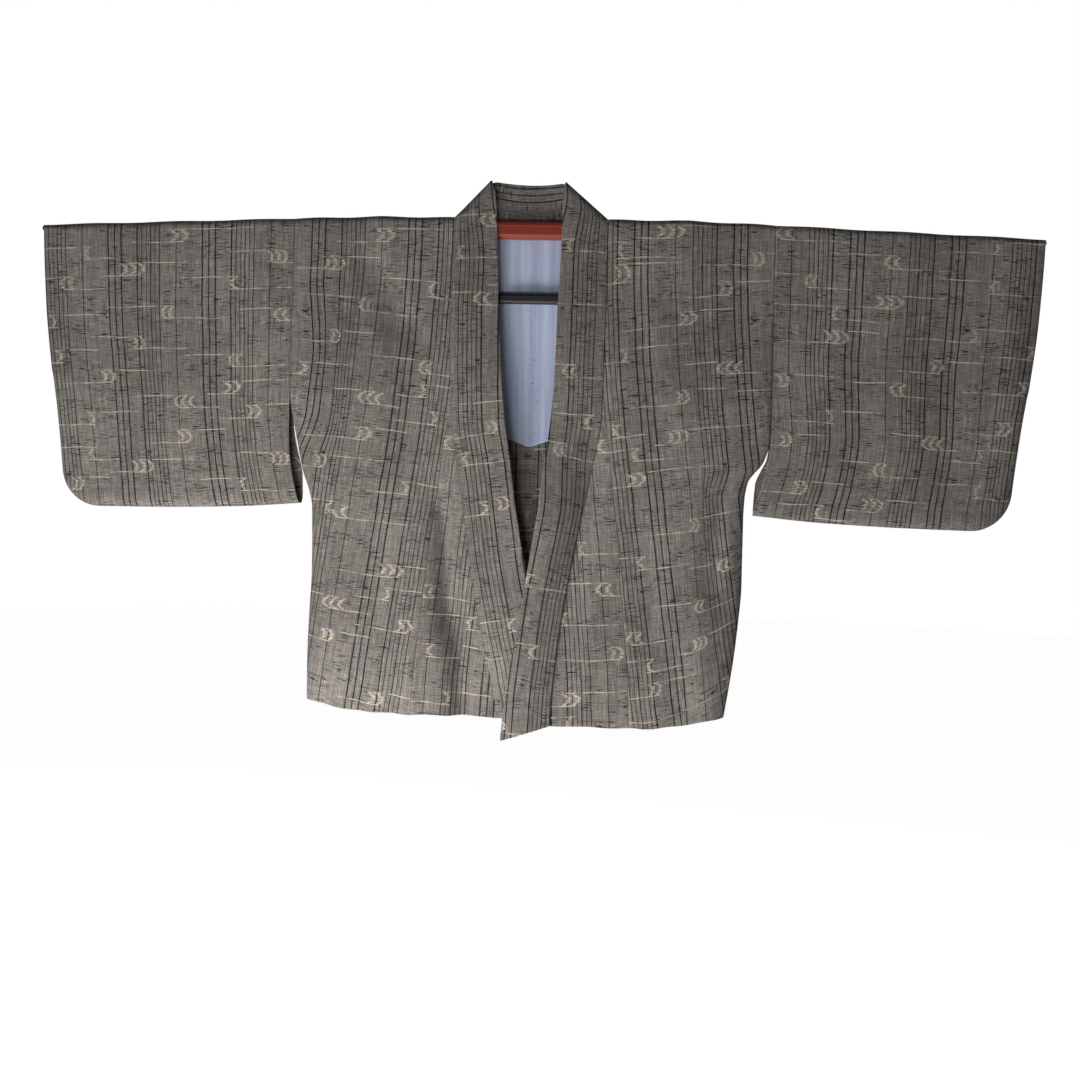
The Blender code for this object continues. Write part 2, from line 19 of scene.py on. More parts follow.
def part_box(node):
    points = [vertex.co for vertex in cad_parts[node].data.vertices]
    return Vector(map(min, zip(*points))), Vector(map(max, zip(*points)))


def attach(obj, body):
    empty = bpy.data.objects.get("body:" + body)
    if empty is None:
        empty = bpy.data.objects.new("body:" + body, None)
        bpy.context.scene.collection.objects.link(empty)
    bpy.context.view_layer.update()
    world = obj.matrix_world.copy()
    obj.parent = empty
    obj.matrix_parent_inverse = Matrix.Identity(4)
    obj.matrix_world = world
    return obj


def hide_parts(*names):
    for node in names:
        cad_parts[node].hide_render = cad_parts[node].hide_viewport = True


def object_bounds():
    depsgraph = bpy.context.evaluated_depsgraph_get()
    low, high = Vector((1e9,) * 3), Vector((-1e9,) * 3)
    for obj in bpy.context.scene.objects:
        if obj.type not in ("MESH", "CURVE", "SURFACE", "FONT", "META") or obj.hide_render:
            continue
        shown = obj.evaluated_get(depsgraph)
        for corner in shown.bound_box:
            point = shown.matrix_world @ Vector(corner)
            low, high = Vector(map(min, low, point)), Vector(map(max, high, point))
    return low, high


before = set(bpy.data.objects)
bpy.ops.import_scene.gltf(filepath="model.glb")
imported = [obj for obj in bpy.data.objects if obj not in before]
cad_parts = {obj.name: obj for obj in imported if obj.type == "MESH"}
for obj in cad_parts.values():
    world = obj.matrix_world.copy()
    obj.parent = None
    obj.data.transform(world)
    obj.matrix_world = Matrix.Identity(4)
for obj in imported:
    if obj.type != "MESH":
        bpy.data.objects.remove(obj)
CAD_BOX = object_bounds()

logging.basicConfig(level=logging.INFO, format="%(message)s")
LOG = logging.getLogger("haori")

Array = np.ndarray
Rgb = tuple[float, float, float]
Table = tuple[tuple[float, ...], ...]
Tree = bpy.types.NodeTree
MM = 0.001


# ---------------------------------------------------------------- small maths


def smooth(value: Array | float) -> Array:
    """Ease values from 0 to 1, clamped outside.

    Args:
        value: Numbers to ease.

    Returns:
        The eased numbers.
    """
    share = np.clip(value, 0.0, 1.0)
    return share * share * (3.0 - 2.0 * share)


def mix(start: Array | float, end: Array | float, share: Array | float) -> Array:
    """Return the value a share of the way from start to end."""
    return start + (end - start) * share


def rounding(distance: Array, reach: float) -> Array:
    """Return the height of a quarter round: 0 at the edge, 1 from its reach on."""
    near = 1.0 - np.clip(distance / reach, 0.0, 1.0)
    return np.sqrt(1.0 - near * near)


@dataclass(frozen=True)
class Curve:
    """A smooth curve through a short table of rising places and their values."""

    places: tuple[float, ...]
    values: tuple[float, ...]

    def __call__(self, at: Array | float) -> Array:
        """Read the curve.

        Args:
            at: Places to read it at, held within the table.

        Returns:
            The curve's values there.
        """
        keys, values = np.array(self.places), np.array(self.values)
        at = np.clip(np.asarray(at, dtype=float), keys[0], keys[-1])
        slopes = np.diff(values) / np.diff(keys)
        tangents = np.empty_like(values)
        tangents[0], tangents[-1] = slopes[0], slopes[-1]
        product = slopes[:-1] * slopes[1:]
        total = np.where(product > 0.0, slopes[:-1] + slopes[1:], 1.0)
        tangents[1:-1] = np.where(product > 0.0, 2.0 * product / total, 0.0)
        index = np.clip(np.searchsorted(keys, at, side="right") - 1, 0, len(keys) - 2)
        span = keys[index + 1] - keys[index]
        t = (at - keys[index]) / span
        return (
            values[index] * (2 * t**3 - 3 * t**2 + 1)
            + values[index + 1] * (3 * t**2 - 2 * t**3)
            + tangents[index] * span * (t**3 - 2 * t**2 + t)
            + tangents[index + 1] * span * (t**3 - t**2)
        )


# ---------------------------------------------------------------- the cut and the hang


@dataclass(frozen=True)
class SideShape:
    """What differs between the jacket's two sides."""

    name: str
    sign: int
    hem: float
    hem_rise: float
    lap: float
    crease_x: float
    crease_z: float
    seam_x: float
    edge: Curve  # side edge of the body, by level
    collar_seam: Curve
    collar_edge: Curve
    sleeve_front: Curve  # open body-side edges of the sleeve, by level
    sleeve_back: Curve
    stripe_start: float  # where the outermost bold stripe of the body lies
    sleeve_stripe_start: float
    okumi_stripe_start: float
    collar_stripe_start: float
    weft_fall: float  # how steeply the crosswise threads of the front fall to the centre


COLLAR_LEVELS = (-0.640, -0.582, -0.508, -0.435, -0.355, -0.300, -0.240, -0.185, -0.100, -0.057,
                 0.000, 0.042, 0.062)
EDGE_LEVELS = (-0.640, -0.560, -0.510, -0.450, -0.360, -0.335, -0.314, -0.285, -0.256, -0.228, -0.206)
SLEEVE_LEVELS = (-0.380, -0.356, -0.318, -0.300, -0.285, -0.256, -0.228, 0.020)

RIGHT = SideShape(
    name="right", sign=-1, hem=-0.6225, hem_rise=0.0135, lap=-0.001,
    crease_x=0.055, crease_z=0.062, seam_x=0.101,
    edge=Curve(EDGE_LEVELS, (0.277, 0.278, 0.277, 0.275, 0.2765, 0.282, 0.2895, 0.2955, 0.3010,
                             0.3060, 0.308)),
    collar_seam=Curve(COLLAR_LEVELS, (0.024, 0.035, 0.052, 0.067, 0.079, 0.087, 0.097, 0.099,
                                      0.101, 0.101, 0.101, 0.101, 0.101)),
    collar_edge=Curve(COLLAR_LEVELS, (-0.040, -0.030, -0.015, -0.003, 0.012, 0.020, 0.029,
                                      0.035, 0.041, 0.043, 0.046, 0.049, 0.055)),
    sleeve_front=Curve(SLEEVE_LEVELS, (0.290, 0.294, 0.3025, 0.3055, 0.307, 0.308, 0.308, 0.308)),
    sleeve_back=Curve(SLEEVE_LEVELS, (0.291, 0.292, 0.2935, 0.2975, 0.3015, 0.3065, 0.308, 0.308)),
    stripe_start=0.284, sleeve_stripe_start=0.554, okumi_stripe_start=0.1065,
    collar_stripe_start=0.0784, weft_fall=0.100,
)
LEFT = SideShape(
    name="left", sign=1, hem=-0.6290, hem_rise=0.0230, lap=0.005,
    crease_x=0.041, crease_z=0.061, seam_x=0.096,
    edge=Curve(EDGE_LEVELS, (0.257, 0.269, 0.2735, 0.277, 0.277, 0.278, 0.2815, 0.301, 0.308,
                             0.308, 0.308)),
    collar_seam=Curve(COLLAR_LEVELS, (0.0390, 0.0415, 0.0485, 0.0595, 0.0735, 0.084, 0.094,
                                      0.095, 0.096, 0.096, 0.096, 0.096, 0.096)),
    collar_edge=Curve(COLLAR_LEVELS, (-0.0205, -0.015, -0.0025, 0.008, 0.019, 0.025, 0.032,
                                      0.035, 0.0365, 0.038, 0.039, 0.039, 0.041)),
    sleeve_front=Curve(SLEEVE_LEVELS, (0.287, 0.288, 0.2985, 0.303, 0.306, 0.3085, 0.308, 0.308)),
    sleeve_back=Curve(SLEEVE_LEVELS, (0.288, 0.289, 0.2915, 0.2985, 0.3055, 0.3085, 0.308, 0.308)),
    stripe_start=0.273, sleeve_stripe_start=0.544, okumi_stripe_start=0.1155,
    collar_stripe_start=0.0809, weft_fall=0.130,
)
SIDES = (RIGHT, LEFT)


class Panel(Enum):
    """A stretch of cloth that has creases of its own."""

    FRONT_RIGHT = "front_right"
    FRONT_LEFT = "front_left"
    BACK_RIGHT = "back_right"
    BACK_LEFT = "back_left"
    SLEEVE_FRONT = "sleeve_front"
    SLEEVE_BACK = "sleeve_back"
    SLEEVE_FRONT_RIGHT = "sleeve_front_right"
    SLEEVE_FRONT_LEFT = "sleeve_front_left"
    SLEEVE_BACK_RIGHT = "sleeve_back_right"
    SLEEVE_BACK_LEFT = "sleeve_back_left"


@dataclass(frozen=True)
class Crease:
    """A soft trough (positive depth, pressed inwards) or ridge along a line, in millimetres."""

    x0: float
    z0: float
    x1: float
    z1: float
    reach: float
    depth: float

    def press(self, x: Array, z: Array) -> Array:
        """Find how far the crease presses the cloth inwards.

        Args:
            x: Places across, in metres.
            z: Levels, in metres.

        Returns:
            The depth at each point, in metres.
        """
        run_x, run_z = self.x1 - self.x0, self.z1 - self.z0
        length = math.hypot(run_x, run_z)
        from_x, from_z = x / MM - self.x0, z / MM - self.z0
        share = (from_x * run_x + from_z * run_z) / length**2
        away = (from_x * run_z - from_z * run_x) / length
        fade = smooth(share / 0.3) * smooth((1.0 - share) / 0.3)
        return self.depth * MM * fade * np.exp(-((away / self.reach) ** 2))


# Each panel's creases, the largest first: x and z of both ends, reach, depth
CREASES = {
    Panel.FRONT_RIGHT: (
        (-240, -10, -150, -165, 24, 5), (-152, -160, -140, -500, 24, 5),
        (-215, -250, -225, -600, 34, -3.5), (-275, -20, -268, -215, 12, 1.4),
        (-218, 0, -128, -120, 10, -1.2), (-205, -85, -140, -235, 13, 2.2),
        (-300, -205, -268, -330, 10, 2.4), (-290, -270, -262, -420, 9, -1.6),
        (-246, -400, -255, -590, 13, -2), (-186, -330, -196, -560, 14, 1.6),
        (-107, -300, -92, -570, 14, 15), (-82, -420, -66, -780, 15, 16),
        (-134, -320, -140, -680, 17, -4.5), (-222, 10, -128, -190, 15, 4.2),
        (-250, -10, -165, -200, 16, -2.2), (-75, -470, -60, -640, 11, -1.8),
        (-170, -520, -172, -640, 10, -1.4), (-135, -500, -128, -640, 9, 1.4),
    ),
    Panel.FRONT_LEFT: (
        (246, -290, 240, -500, 20, 6.5), (150, -80, 205, -270, 26, -3.5), (190, -500, 202, -640, 22, 4.5),
        (268, -10, 262, -215, 12, 1.2), (122, -20, 150, -210, 14, 2.4), (215, -60, 232, -260, 12, 1.6),
        (300, -225, 236, -360, 11, 3.6), (290, -270, 255, -335, 8, -2.2), (262, -330, 252, -470, 9, -2.4),
        (258, -440, 240, -610, 12, 2.6), (222, -420, 224, -600, 10, -1.6),
        (162, -360, 170, -560, 15, 1.8), (135, -430, 142, -620, 12, -1.2), (98, -190, 40, -640, 20, 12.5),
        (92, -410, 80, -640, 12, -1.6), (112, -500, 108, -640, 10, -1.4),
    ),
    Panel.BACK_RIGHT: (
        (-90, -180, -75, -640, 30, 5), (-205, -100, -190, -560, 28, 4.5),
        (-145, -50, -120, -330, 18, -2.2), (-255, -190, -215, -400, 14, 2.6),
        (-40, -260, -45, -560, 15, -1.8), (-250, -380, -245, -610, 13, -1.8),
        (-155, -380, -140, -600, 12, 1.8),
    ),
    Panel.BACK_LEFT: (
        (105, -150, 120, -600, 28, 5), (215, -220, 200, -640, 26, 4), (60, -90, 55, -350, 16, -2),
        (262, -200, 225, -380, 13, 2.8), (165, -120, 172, -420, 17, -2.2), (42, -380, 52, -620, 13, 1.6),
        (250, -420, 238, -600, 12, -1.6),
    ),
    Panel.SLEEVE_FRONT: (
        (410, -40, 404, -345, 26, 3.2), (532, -120, 525, -350, 24, 3.2),
    ),
    Panel.SLEEVE_BACK: (
        (370, -50, 378, -330, 28, 3), (490, -30, 484, -300, 26, 3.2),
    ),
    Panel.SLEEVE_FRONT_RIGHT: (
        (360, -20, 352, -300, 14, 1), (470, -60, 452, -345, 16, -1.4), (560, -40, 548, -250, 13, 1.4),
        (340, -190, 318, -350, 13, -1.6), (500, -210, 486, -360, 11, 1.2),
        (598, -120, 580, -330, 11, -1.2),
    ),
    Panel.SLEEVE_FRONT_LEFT: (
        (368, -30, 352, -260, 13, 1.4), (455, -40, 448, -330, 15, -1.4), (586, -80, 566, -330, 13, 1.8),
        (390, -200, 362, -355, 12, 1.6), (494, -190, 470, -355, 12, -1.2), (612, -60, 600, -200, 9, -1),
    ),
    Panel.SLEEVE_BACK_RIGHT: (
        (430, -60, 424, -320, 16, -1.4), (560, -80, 545, -330, 14, 1.6), (330, -140, 322, -330, 12, 1.2),
    ),
    Panel.SLEEVE_BACK_LEFT: (
        (420, -30, 428, -290, 15, -1.2), (545, -110, 530, -345, 13, 1.8), (340, -90, 330, -300, 12, 1.4),
    ),
}


@dataclass(frozen=True)
class HangingForm:
    """The jacket's hang over the bar, worked out as the solids are."""

    ridge_radius: float = 0.0086
    ridge_z: float = 0.006
    arm_slope: float = 0.0385
    bar_level_half: float = 0.200
    slope_low: float = -0.500  # the arm's slope carries down to this level
    slope_fade: float = 0.300
    shoulder_half: float = 0.308
    okumi_top: float = -0.238
    neck_dip: float = -0.008
    hang_depth: float = 0.020
    hang_depth_level: float = -0.210
    side_rounding: float = 0.045
    lap_top: float = -0.300
    lap_full: float = -0.420
    lap_reach: float = 0.170
    lap_fade: float = 0.090
    calm_top: float = 0.050  # within it the cloth lies flat over the bar
    calm_edge: float = 0.020
    back_seam_lean: float = 0.0075
    back_seam_lean_level: float = -0.330
    hem_rise_start: float = -0.400
    hem_rise_fade: float = 0.200
    hem_level_half: float = 0.140
    hem_rise_reach: float = 0.137
    waver_start: float = -0.560  # below it the hems are a little uneven
    waver_fade: float = 0.050
    side_depth: Curve = Curve(
        (-0.640, -0.314, -0.290, -0.256, -0.200, -0.100, 0.006, 0.020),
        (0.0006, 0.0006, 0.0040, 0.0080, 0.0105, 0.0100, 0.0086, 0.0086),
    )
    okumi_seam: Curve = Curve(
        (-0.640, -0.565, -0.465, -0.385, -0.320, -0.275, -0.238),
        (0.1405, 0.1360, 0.1265, 0.1185, 0.1105, 0.1055, 0.0985),
    )

    @property
    def top(self) -> float:
        """Return the height of the shoulder's top."""
        return self.ridge_z + self.ridge_radius

    @property
    def quarter_turn(self) -> float:
        """Return the length of cloth from the shoulder's top to where it hangs straight."""
        return self.ridge_radius * math.pi / 2

    def arm_drop(self, x: Array) -> Array:
        """Return how far the hanger's arm has sloped down at x."""
        return self.arm_slope * np.maximum(0.0, np.abs(x) - self.bar_level_half)

    def hung_z(self, x: Array, level: Array) -> Array:
        """Return the height of a level, which the arm's slope carries down near the shoulder."""
        return level - self.arm_drop(x) * smooth((level - self.slope_low) / self.slope_fade)

    def crease_depth(self, panels: tuple[Panel, ...], x: Array, z: Array) -> Array:
        """Return how far all creases of the named panels press the cloth inwards."""
        rows = [row for panel in panels for row in CREASES[panel]]
        return sum((Crease(*row).press(x, z) for row in rows), np.zeros(np.broadcast(x, z).shape))

    def ripple(self, x: Array, z: Array, size: float, seed: float) -> Array:
        """Find the slight unevenness of hanging cloth, mostly in long upright waves.

        Args:
            x: Places across.
            z: Levels.
            size: How strong it is.
            seed: Number of this stretch.

        Returns:
            How far each point is pressed inwards.
        """
        return size * (
            np.sin(x * 96.0 + 2.1 * np.sin(z * 9.0 + seed) + seed * 3.1)
            * (0.55 + 0.45 * np.sin(z * 13.0 + seed * 1.7))
            + 0.55 * np.sin(x * 43.0 + z * 21.0 + seed * 5.3)
            + 0.35 * np.sin(x * 151.0 - z * 34.0 + seed * 2.2)
            + 0.30 * np.sin(z * 71.0 + 1.9 * np.sin(x * 23.0 + seed))
        )

    def body_y(self, side: SideShape, x: Array, level: Array, front: bool) -> Array:
        """Find the middle surface of a front or back. The left front lies over the right one.

        Args:
            side: Which side.
            x: Places across.
            level: Level on the panel.
            front: Whether it is the front.

        Returns:
            Its depth at each point.
        """
        from_edge = side.edge(level) - np.abs(x)
        fall = (self.ridge_z - level) / (self.ridge_z - self.hang_depth_level)
        full = mix(self.ridge_radius, self.hang_depth, smooth(fall))
        depth = mix(self.side_depth(level), full, rounding(from_edge, self.side_rounding))
        size, seed = (0.00042, 1.0 + side.sign) if front else (0.00045, 4.0)
        calm = smooth((self.ridge_z - level) / self.calm_top) * smooth(from_edge / self.calm_edge)
        pressed = self.crease_depth((Panel(("front_" if front else "back_") + side.name),), x, level)
        pressed = pressed + self.ripple(x, level, size, seed) * calm
        if not front:
            return depth - pressed
        lap = side.lap * smooth((self.lap_top - level) / (self.lap_top - self.lap_full))
        return pressed - depth - lap * smooth((self.lap_reach - side.sign * x) / self.lap_fade)

    def back_seam_x(self, level: float) -> float:
        """Return the centre-back seam, which hangs a little off the centre line."""
        fall = (self.neck_dip - level) / (self.neck_dip - self.back_seam_lean_level)
        return self.back_seam_lean * float(smooth(fall))

    def near_hem(self, level: float) -> float:
        """Return 1 where the hems are uneven and 0 above."""
        return float(smooth((self.waver_start - level) / self.waver_fade))

    def hem_lift(self, side: SideShape, x: Array, level: Array) -> Array:
        """Return how far the hem has risen towards the side seam."""
        beyond = np.maximum(0.0, np.abs(x) - self.hem_level_half) / self.hem_rise_reach
        return side.hem_rise * beyond**2 * smooth((self.hem_rise_start - level) / self.hem_rise_fade)

    def front_inner(self, side: SideShape, level: float) -> float:
        """Return the front's inner edge: the collar seam, then the okumi seam below."""
        return float((side.collar_seam if level >= self.okumi_top else self.okumi_seam)(level))

    def neck_x(self, side: SideShape, z: float) -> float:
        """Return half the width of the back neck seam at a height."""
        down = (self.top - z) / (self.top - self.neck_dip)
        return side.seam_x * math.sqrt(max(0.0, 1.0 - down * down))

    def neck_points(self, side: SideShape, steps: int) -> list[tuple[float, float]]:
        """List the back neck seam from shoulder to centre.

        Args:
            side: Which side.
            steps: How many points.

        Returns:
            Pairs of a distance from the centre line and a height.
        """
        drop = self.top - self.neck_dip
        start = math.asin((self.top - self.ridge_z) / drop)
        angles = [start + (math.pi / 2 - start) * step / steps for step in range(1, steps + 1)]
        return [(side.seam_x * math.cos(a), self.top - drop * math.sin(a)) for a in angles]


FORM = HangingForm()


# ---------------------------------------------------------------- places on the cloth

Place = Callable[[SideShape, Array, Array], tuple[Array, Array]]
GRAIN_LEAN = 0.135  # how far the front's lengthwise threads lean outwards as they hang
GRAIN_DROP = 0.280


def front_place(side: SideShape, x: Array, level: Array) -> tuple[Array, Array]:
    """Find a front point's place on the cloth.

    Args:
        side: Which side.
        x: Place across, in the jacket's frame.
        level: Level on the panel.

    Returns:
        The distance inwards from the outermost bold stripe, and the length from the shoulder,
        negative on the front.
    """
    reach = np.abs(x)
    drop = np.maximum(FORM.ridge_z - level, 0.0)
    leaning = np.minimum(drop, GRAIN_DROP)
    lean = GRAIN_LEAN * (leaning * leaning / (2 * GRAIN_DROP) + np.maximum(drop - GRAIN_DROP, 0.0))
    across = side.stripe_start - reach + lean
    along = side.weft_fall * (FORM.shoulder_half - reach) * smooth(drop / 0.12) - FORM.quarter_turn - drop
    if side.sign > 0:  # the left side is drawn down and in near the hem
        beyond = np.maximum(reach - 0.200, 0.0) / 0.075
        along = along - 0.016 * beyond**2 * smooth((drop - 0.300) / 0.12)
        across = across - 0.013 * smooth((reach - 0.205) / 0.035) * smooth((drop - 0.300) / 0.045)
    else:  # the right side is drawn in beside the armhole
        held = smooth((drop - 0.060) / 0.120) * smooth((0.310 - drop) / 0.070)
        across = across - 0.014 * smooth((reach - 0.225) / 0.045) * held
    return across, along


def back_place(side: SideShape, x: Array, level: Array) -> tuple[Array, Array]:
    """Find a back point's place on the cloth, as front_place does."""
    return side.stripe_start - np.abs(x), FORM.quarter_turn + FORM.ridge_z - level


def okumi_place(side: SideShape, x: Array, level: Array) -> tuple[Array, Array]:
    """Find an overlap panel point's place on the cloth, counted from the seam to the front."""
    across = side.okumi_stripe_start - FORM.okumi_seam(level) + side.sign * x
    return across, level - FORM.ridge_z + 0.07 * (0.14 - side.sign * x) + 0.021


class Threads(Enum):
    """Which of a woven figure's two pale threads runs the way its crescents bulge."""

    UPPER_FORWARD = 1
    LOWER_FORWARD = -1


@dataclass(frozen=True)
class Motif:
    """A woven figure of nested crescents at a place on the cloth."""

    across: float
    along: float
    arcs: int
    facing: int  # +1 bulges along +across
    threads: Threads = Threads.UPPER_FORWARD


# Woven figures that show on the front: millimetres across, millimetres of level, and the
# number of crescents, negative where they bulge towards the wearer's right
FIGURES = {
    "sleeve_right": (
        (-460, -15, 2), (-580, -40, -1), (-520, -60, 3), (-330, -40, 3), (-605, -80, -2), (-385, -75, -1),
        (-470, -115, -2), (-320, -115, -2), (-510, -155, 2), (-625, -130, 1), (-615, -175, 1),
        (-380, -175, -2), (-550, -200, 2), (-385, -210, 2), (-445, -230, -3), (-355, -240, 2),
        (-570, -255, 1), (-445, -275, 2), (-565, -300, -1), (-320, -300, 3), (-500, -315, 3),
        (-585, -340, 2), (-365, -335, -1),
    ),
    "front_right": (
        (-190, -10, 2), (-255, -45, 3), (-125, -80, -1), (-210, -100, -2), (-250, -140, 2), (-290, -180, 1),
        (-130, -180, -2), (-200, -220, -3), (-135, -210, 1), (-120, -245, 1), (-210, -265, 2),
        (-265, -300, 2), (-155, -335, 1), (-235, -365, -2), (-250, -360, -1), (-170, -440, 3),
        (-175, -470, 1), (-240, -485, -3), (-150, -510, 2), (-250, -530, 2), (-185, -605, 2),
    ),
    "okumi_right": (
        (-100, -275, 1), (-120, -465, 2), (-115, -540, 1), (-95, -600, -1), (-65, -505, 1), (-40, -545, 1),
    ),
    "collar_right": (
        (-55, 10, 2), (-90, -30, 1), (-60, -90, 2), (-45, -255, -2), (-75, -295, 1), (-50, -355, -1),
        (-30, -350, -2), (-10, -505, 1),
    ),
    "collar_left": (
        (50, -20, 1), (55, -180, 2), (80, -245, 1), (45, -280, 2), (10, -445, 1), (15, -535, 1),
    ),
    "front_left": (
        (175, 0, 3), (115, -25, -1), (115, -55, 2), (285, -30, 2), (245, -70, 2), (200, -110, 2),
        (120, -160, 1), (255, -170, -3), (195, -210, 2), (310, -185, 1), (115, -255, -1), (190, -260, 3),
        (140, -285, -1), (140, -315, 2), (215, -370, 2), (150, -420, -1), (255, -420, -2), (225, -475, -2),
        (145, -515, -2), (225, -525, 3), (165, -550, -1), (170, -580, 2), (260, -585, 1), (135, -615, -1),
    ),
    "okumi_left": (
        (95, -275, 1), (75, -405, 1), (105, -455, 2), (55, -495, 1), (120, -535, -2), (65, -595, -2),
        (65, -625, 1),
    ),
    "sleeve_left": (
        (320, 0, -2), (580, -15, 1), (455, -35, -2), (355, -60, -2), (580, -65, -1), (450, -85, 3),
        (385, -100, -1), (385, -130, 3), (555, -125, 1), (510, -165, 2), (625, -145, 1), (320, -185, 2),
        (465, -195, -2), (615, -190, 1), (380, -230, 1), (595, -240, 2), (325, -260, 2), (510, -260, -3),
        (565, -275, 1), (445, -295, -2), (345, -320, 2), (565, -320, -1), (435, -340, 3), (370, -350, -1),
    ),
}
# Figures whose threads run the other way
CROSSED = {(-330, -40), (-510, -155), (-320, -300)}


@dataclass(frozen=True)
class MotifScatter:
    """Spreads figures over cloth out of sight, in staggered rows with a fixed seed."""

    pitch: float = 0.074
    jitter: float = 0.014
    margin: float = 0.03  # length behind the shoulder from which they begin

    def fill(self, low: tuple[float, float], high: tuple[float, float], seed: int) -> list[Motif]:
        """List the figures within a box of cloth.

        Args:
            low: Lowest place across and along.
            high: Highest place across and along.
            seed: Seed of this stretch.

        Returns:
            The figures.
        """
        random = np.random.default_rng(seed)
        columns, rows = [
            range(math.floor(start / self.pitch), math.ceil(end / self.pitch) + 1)
            for start, end in zip(low, high)]
        motifs = []
        for column in columns:
            for row in rows:
                across = column * self.pitch + random.uniform(-self.jitter, self.jitter)
                along = (row + 0.5 * (column % 2)) * self.pitch
                along += random.uniform(-self.jitter, self.jitter)
                arcs = int(random.choice((1, 2, 2, 3)))
                motifs.append(Motif(across, along, arcs, int(random.choice((-1, 1)))))
        return motifs

    def fill_behind(self, low: float, high: float, length: float, seed: int) -> list[Motif]:
        """List the figures behind the shoulder, between two places across."""
        return [m for m in self.fill((low, 0.0), (high, length), seed) if m.along > self.margin]


SCATTER = MotifScatter()


def set_figure(x: int, level: int, count: int, side: SideShape, across: Array, along: Array) -> Motif:
    """Set a charted figure on the cloth.

    Args:
        x: Its chart place across, in millimetres.
        level: Its chart level, in millimetres.
        count: Its signed count of crescents.
        side: Which side of the jacket.
        across: Its place across the cloth.
        along: Its place along the cloth.

    Returns:
        The figure.
    """
    threads = Threads.LOWER_FORWARD if (x, level) in CROSSED else Threads.UPPER_FORWARD
    facing = -side.sign * (1 if count > 0 else -1)
    return Motif(float(across), float(along), abs(count), facing, threads)


def chart_motifs(name: str, side: SideShape, place: Place) -> list[Motif]:
    """List the charted figures of a piece, set on the cloth by its place function."""
    return [set_figure(*row, side, *place(side, np.array(row[0] * MM), np.array(row[1] * MM)))
            for row in FIGURES[name + side.name]]


# ---------------------------------------------------------------- making meshes


@dataclass
class SheetRows:
    """Rows of points of a sheet, each with its place on the cloth."""

    points: list[Array] = field(default_factory=list)
    cloth: list[Array] = field(default_factory=list)

    def add(self, x: Array, y: Array, z: Array, across: Array, along: Array) -> None:
        """Add a row. A plain number stands for the whole row."""
        self.points.append(np.stack(np.broadcast_arrays(x, y, z), axis=-1))
        self.cloth.append(np.stack(np.broadcast_arrays(across, along), axis=-1))

    def add_ridge(self, side: SideShape, reach: Array, dip: Array, turn: float, crown: Array,
                  start: float) -> None:
        """Add a row that turns over the bar.

        Args:
            side: Which side.
            reach: Distances from the centre line.
            dip: How far the row turns in.
            turn: Its angle from the top, in radians.
            crown: Unevenness of the top.
            start: Where the outermost bold stripe lies.
        """
        radius = FORM.ridge_radius - dip
        z = FORM.ridge_z + (radius + crown) * math.cos(turn) - FORM.arm_drop(reach)
        self.add(side.sign * reach, radius * math.sin(turn), z, start - reach, FORM.ridge_radius * turn)


def add_object(name: str, data: bpy.types.ID) -> bpy.types.Object:
    """Put an object into the scene."""
    made = bpy.data.objects.new(name, data)
    bpy.context.scene.collection.objects.link(made)
    return made


LENGTHWISE_WEIGHT = 2.6


def nearest_motifs(centres: Array, places: Array) -> Array:
    """Find each face's nearest figure, counting lengthwise distance for more.

    Args:
        centres: Places of the faces on the cloth.
        places: Places of the figures.

    Returns:
        For each face the index of its figure.
    """
    away = centres[:, None] - places
    return np.argmin(away[..., 0] ** 2 + (LENGTHWISE_WEIGHT * away[..., 1]) ** 2, axis=1)


def make_sheet(name: str, points: Array, cloth: Array, wall: float, motifs: list[Motif],
               weld: bool = False) -> bpy.types.Object:
    """Make a sheet of cloth from a grid of points.

    Args:
        name: The piece's name.
        points: Rows of its points.
        cloth: Their places on the cloth.
        wall: Its thickness.
        motifs: Woven figures on it.
        weld: Whether edges that meet are joined.

    Returns:
        The new object, with its wall as a live modifier.
    """
    points, cloth = np.array(points), np.array(cloth)
    index = np.arange(points[..., 0].size).reshape(points.shape[:2])
    faces = np.stack((index[:-1, :-1], index[:-1, 1:], index[1:, 1:], index[1:, :-1]), axis=-1).reshape(-1, 4)
    mesh = bpy.data.meshes.new(name)
    mesh.from_pydata(points.reshape(-1, 3).tolist(), [], faces.tolist())
    corners = cloth.reshape(-1, 2)[faces]
    maps = {"cloth": corners}
    if motifs:
        table = np.array([(m.across, m.along, m.facing, m.arcs, m.threads.value) for m in motifs])
        chosen = nearest_motifs(corners.mean(axis=1), table[:, :2])
        own = table[chosen]
        local = corners - own[:, None, :2]
        local[:, :, 0] *= own[:, None, 2]
        kind = np.stack((own[:, 3], own[:, 4] * (0.2 + 0.7 * ((chosen * 0.618) % 1.0))), axis=-1)
        maps |= {"figure_place": local, "figure_kind": np.repeat(kind[:, None, :], 4, axis=1)}
    for title, values in maps.items():
        mesh.uv_layers.new(name=title).data.foreach_set("uv", values.astype(np.float32).ravel())
    mesh.uv_layers.active = mesh.uv_layers["cloth"]
    mesh.uv_layers["cloth"].active_render = True
    if weld:
        shape = bmesh.new()
        shape.from_mesh(mesh)
        bmesh.ops.remove_doubles(shape, verts=shape.verts, dist=0.02 * MM)
        shape.to_mesh(mesh)
        shape.free()
    mesh.shade_smooth()
    sheet = add_object(name, mesh)
    solidify = sheet.modifiers.new("wall", "SOLIDIFY")
    solidify.thickness, solidify.offset = wall, 0.0
    return sheet


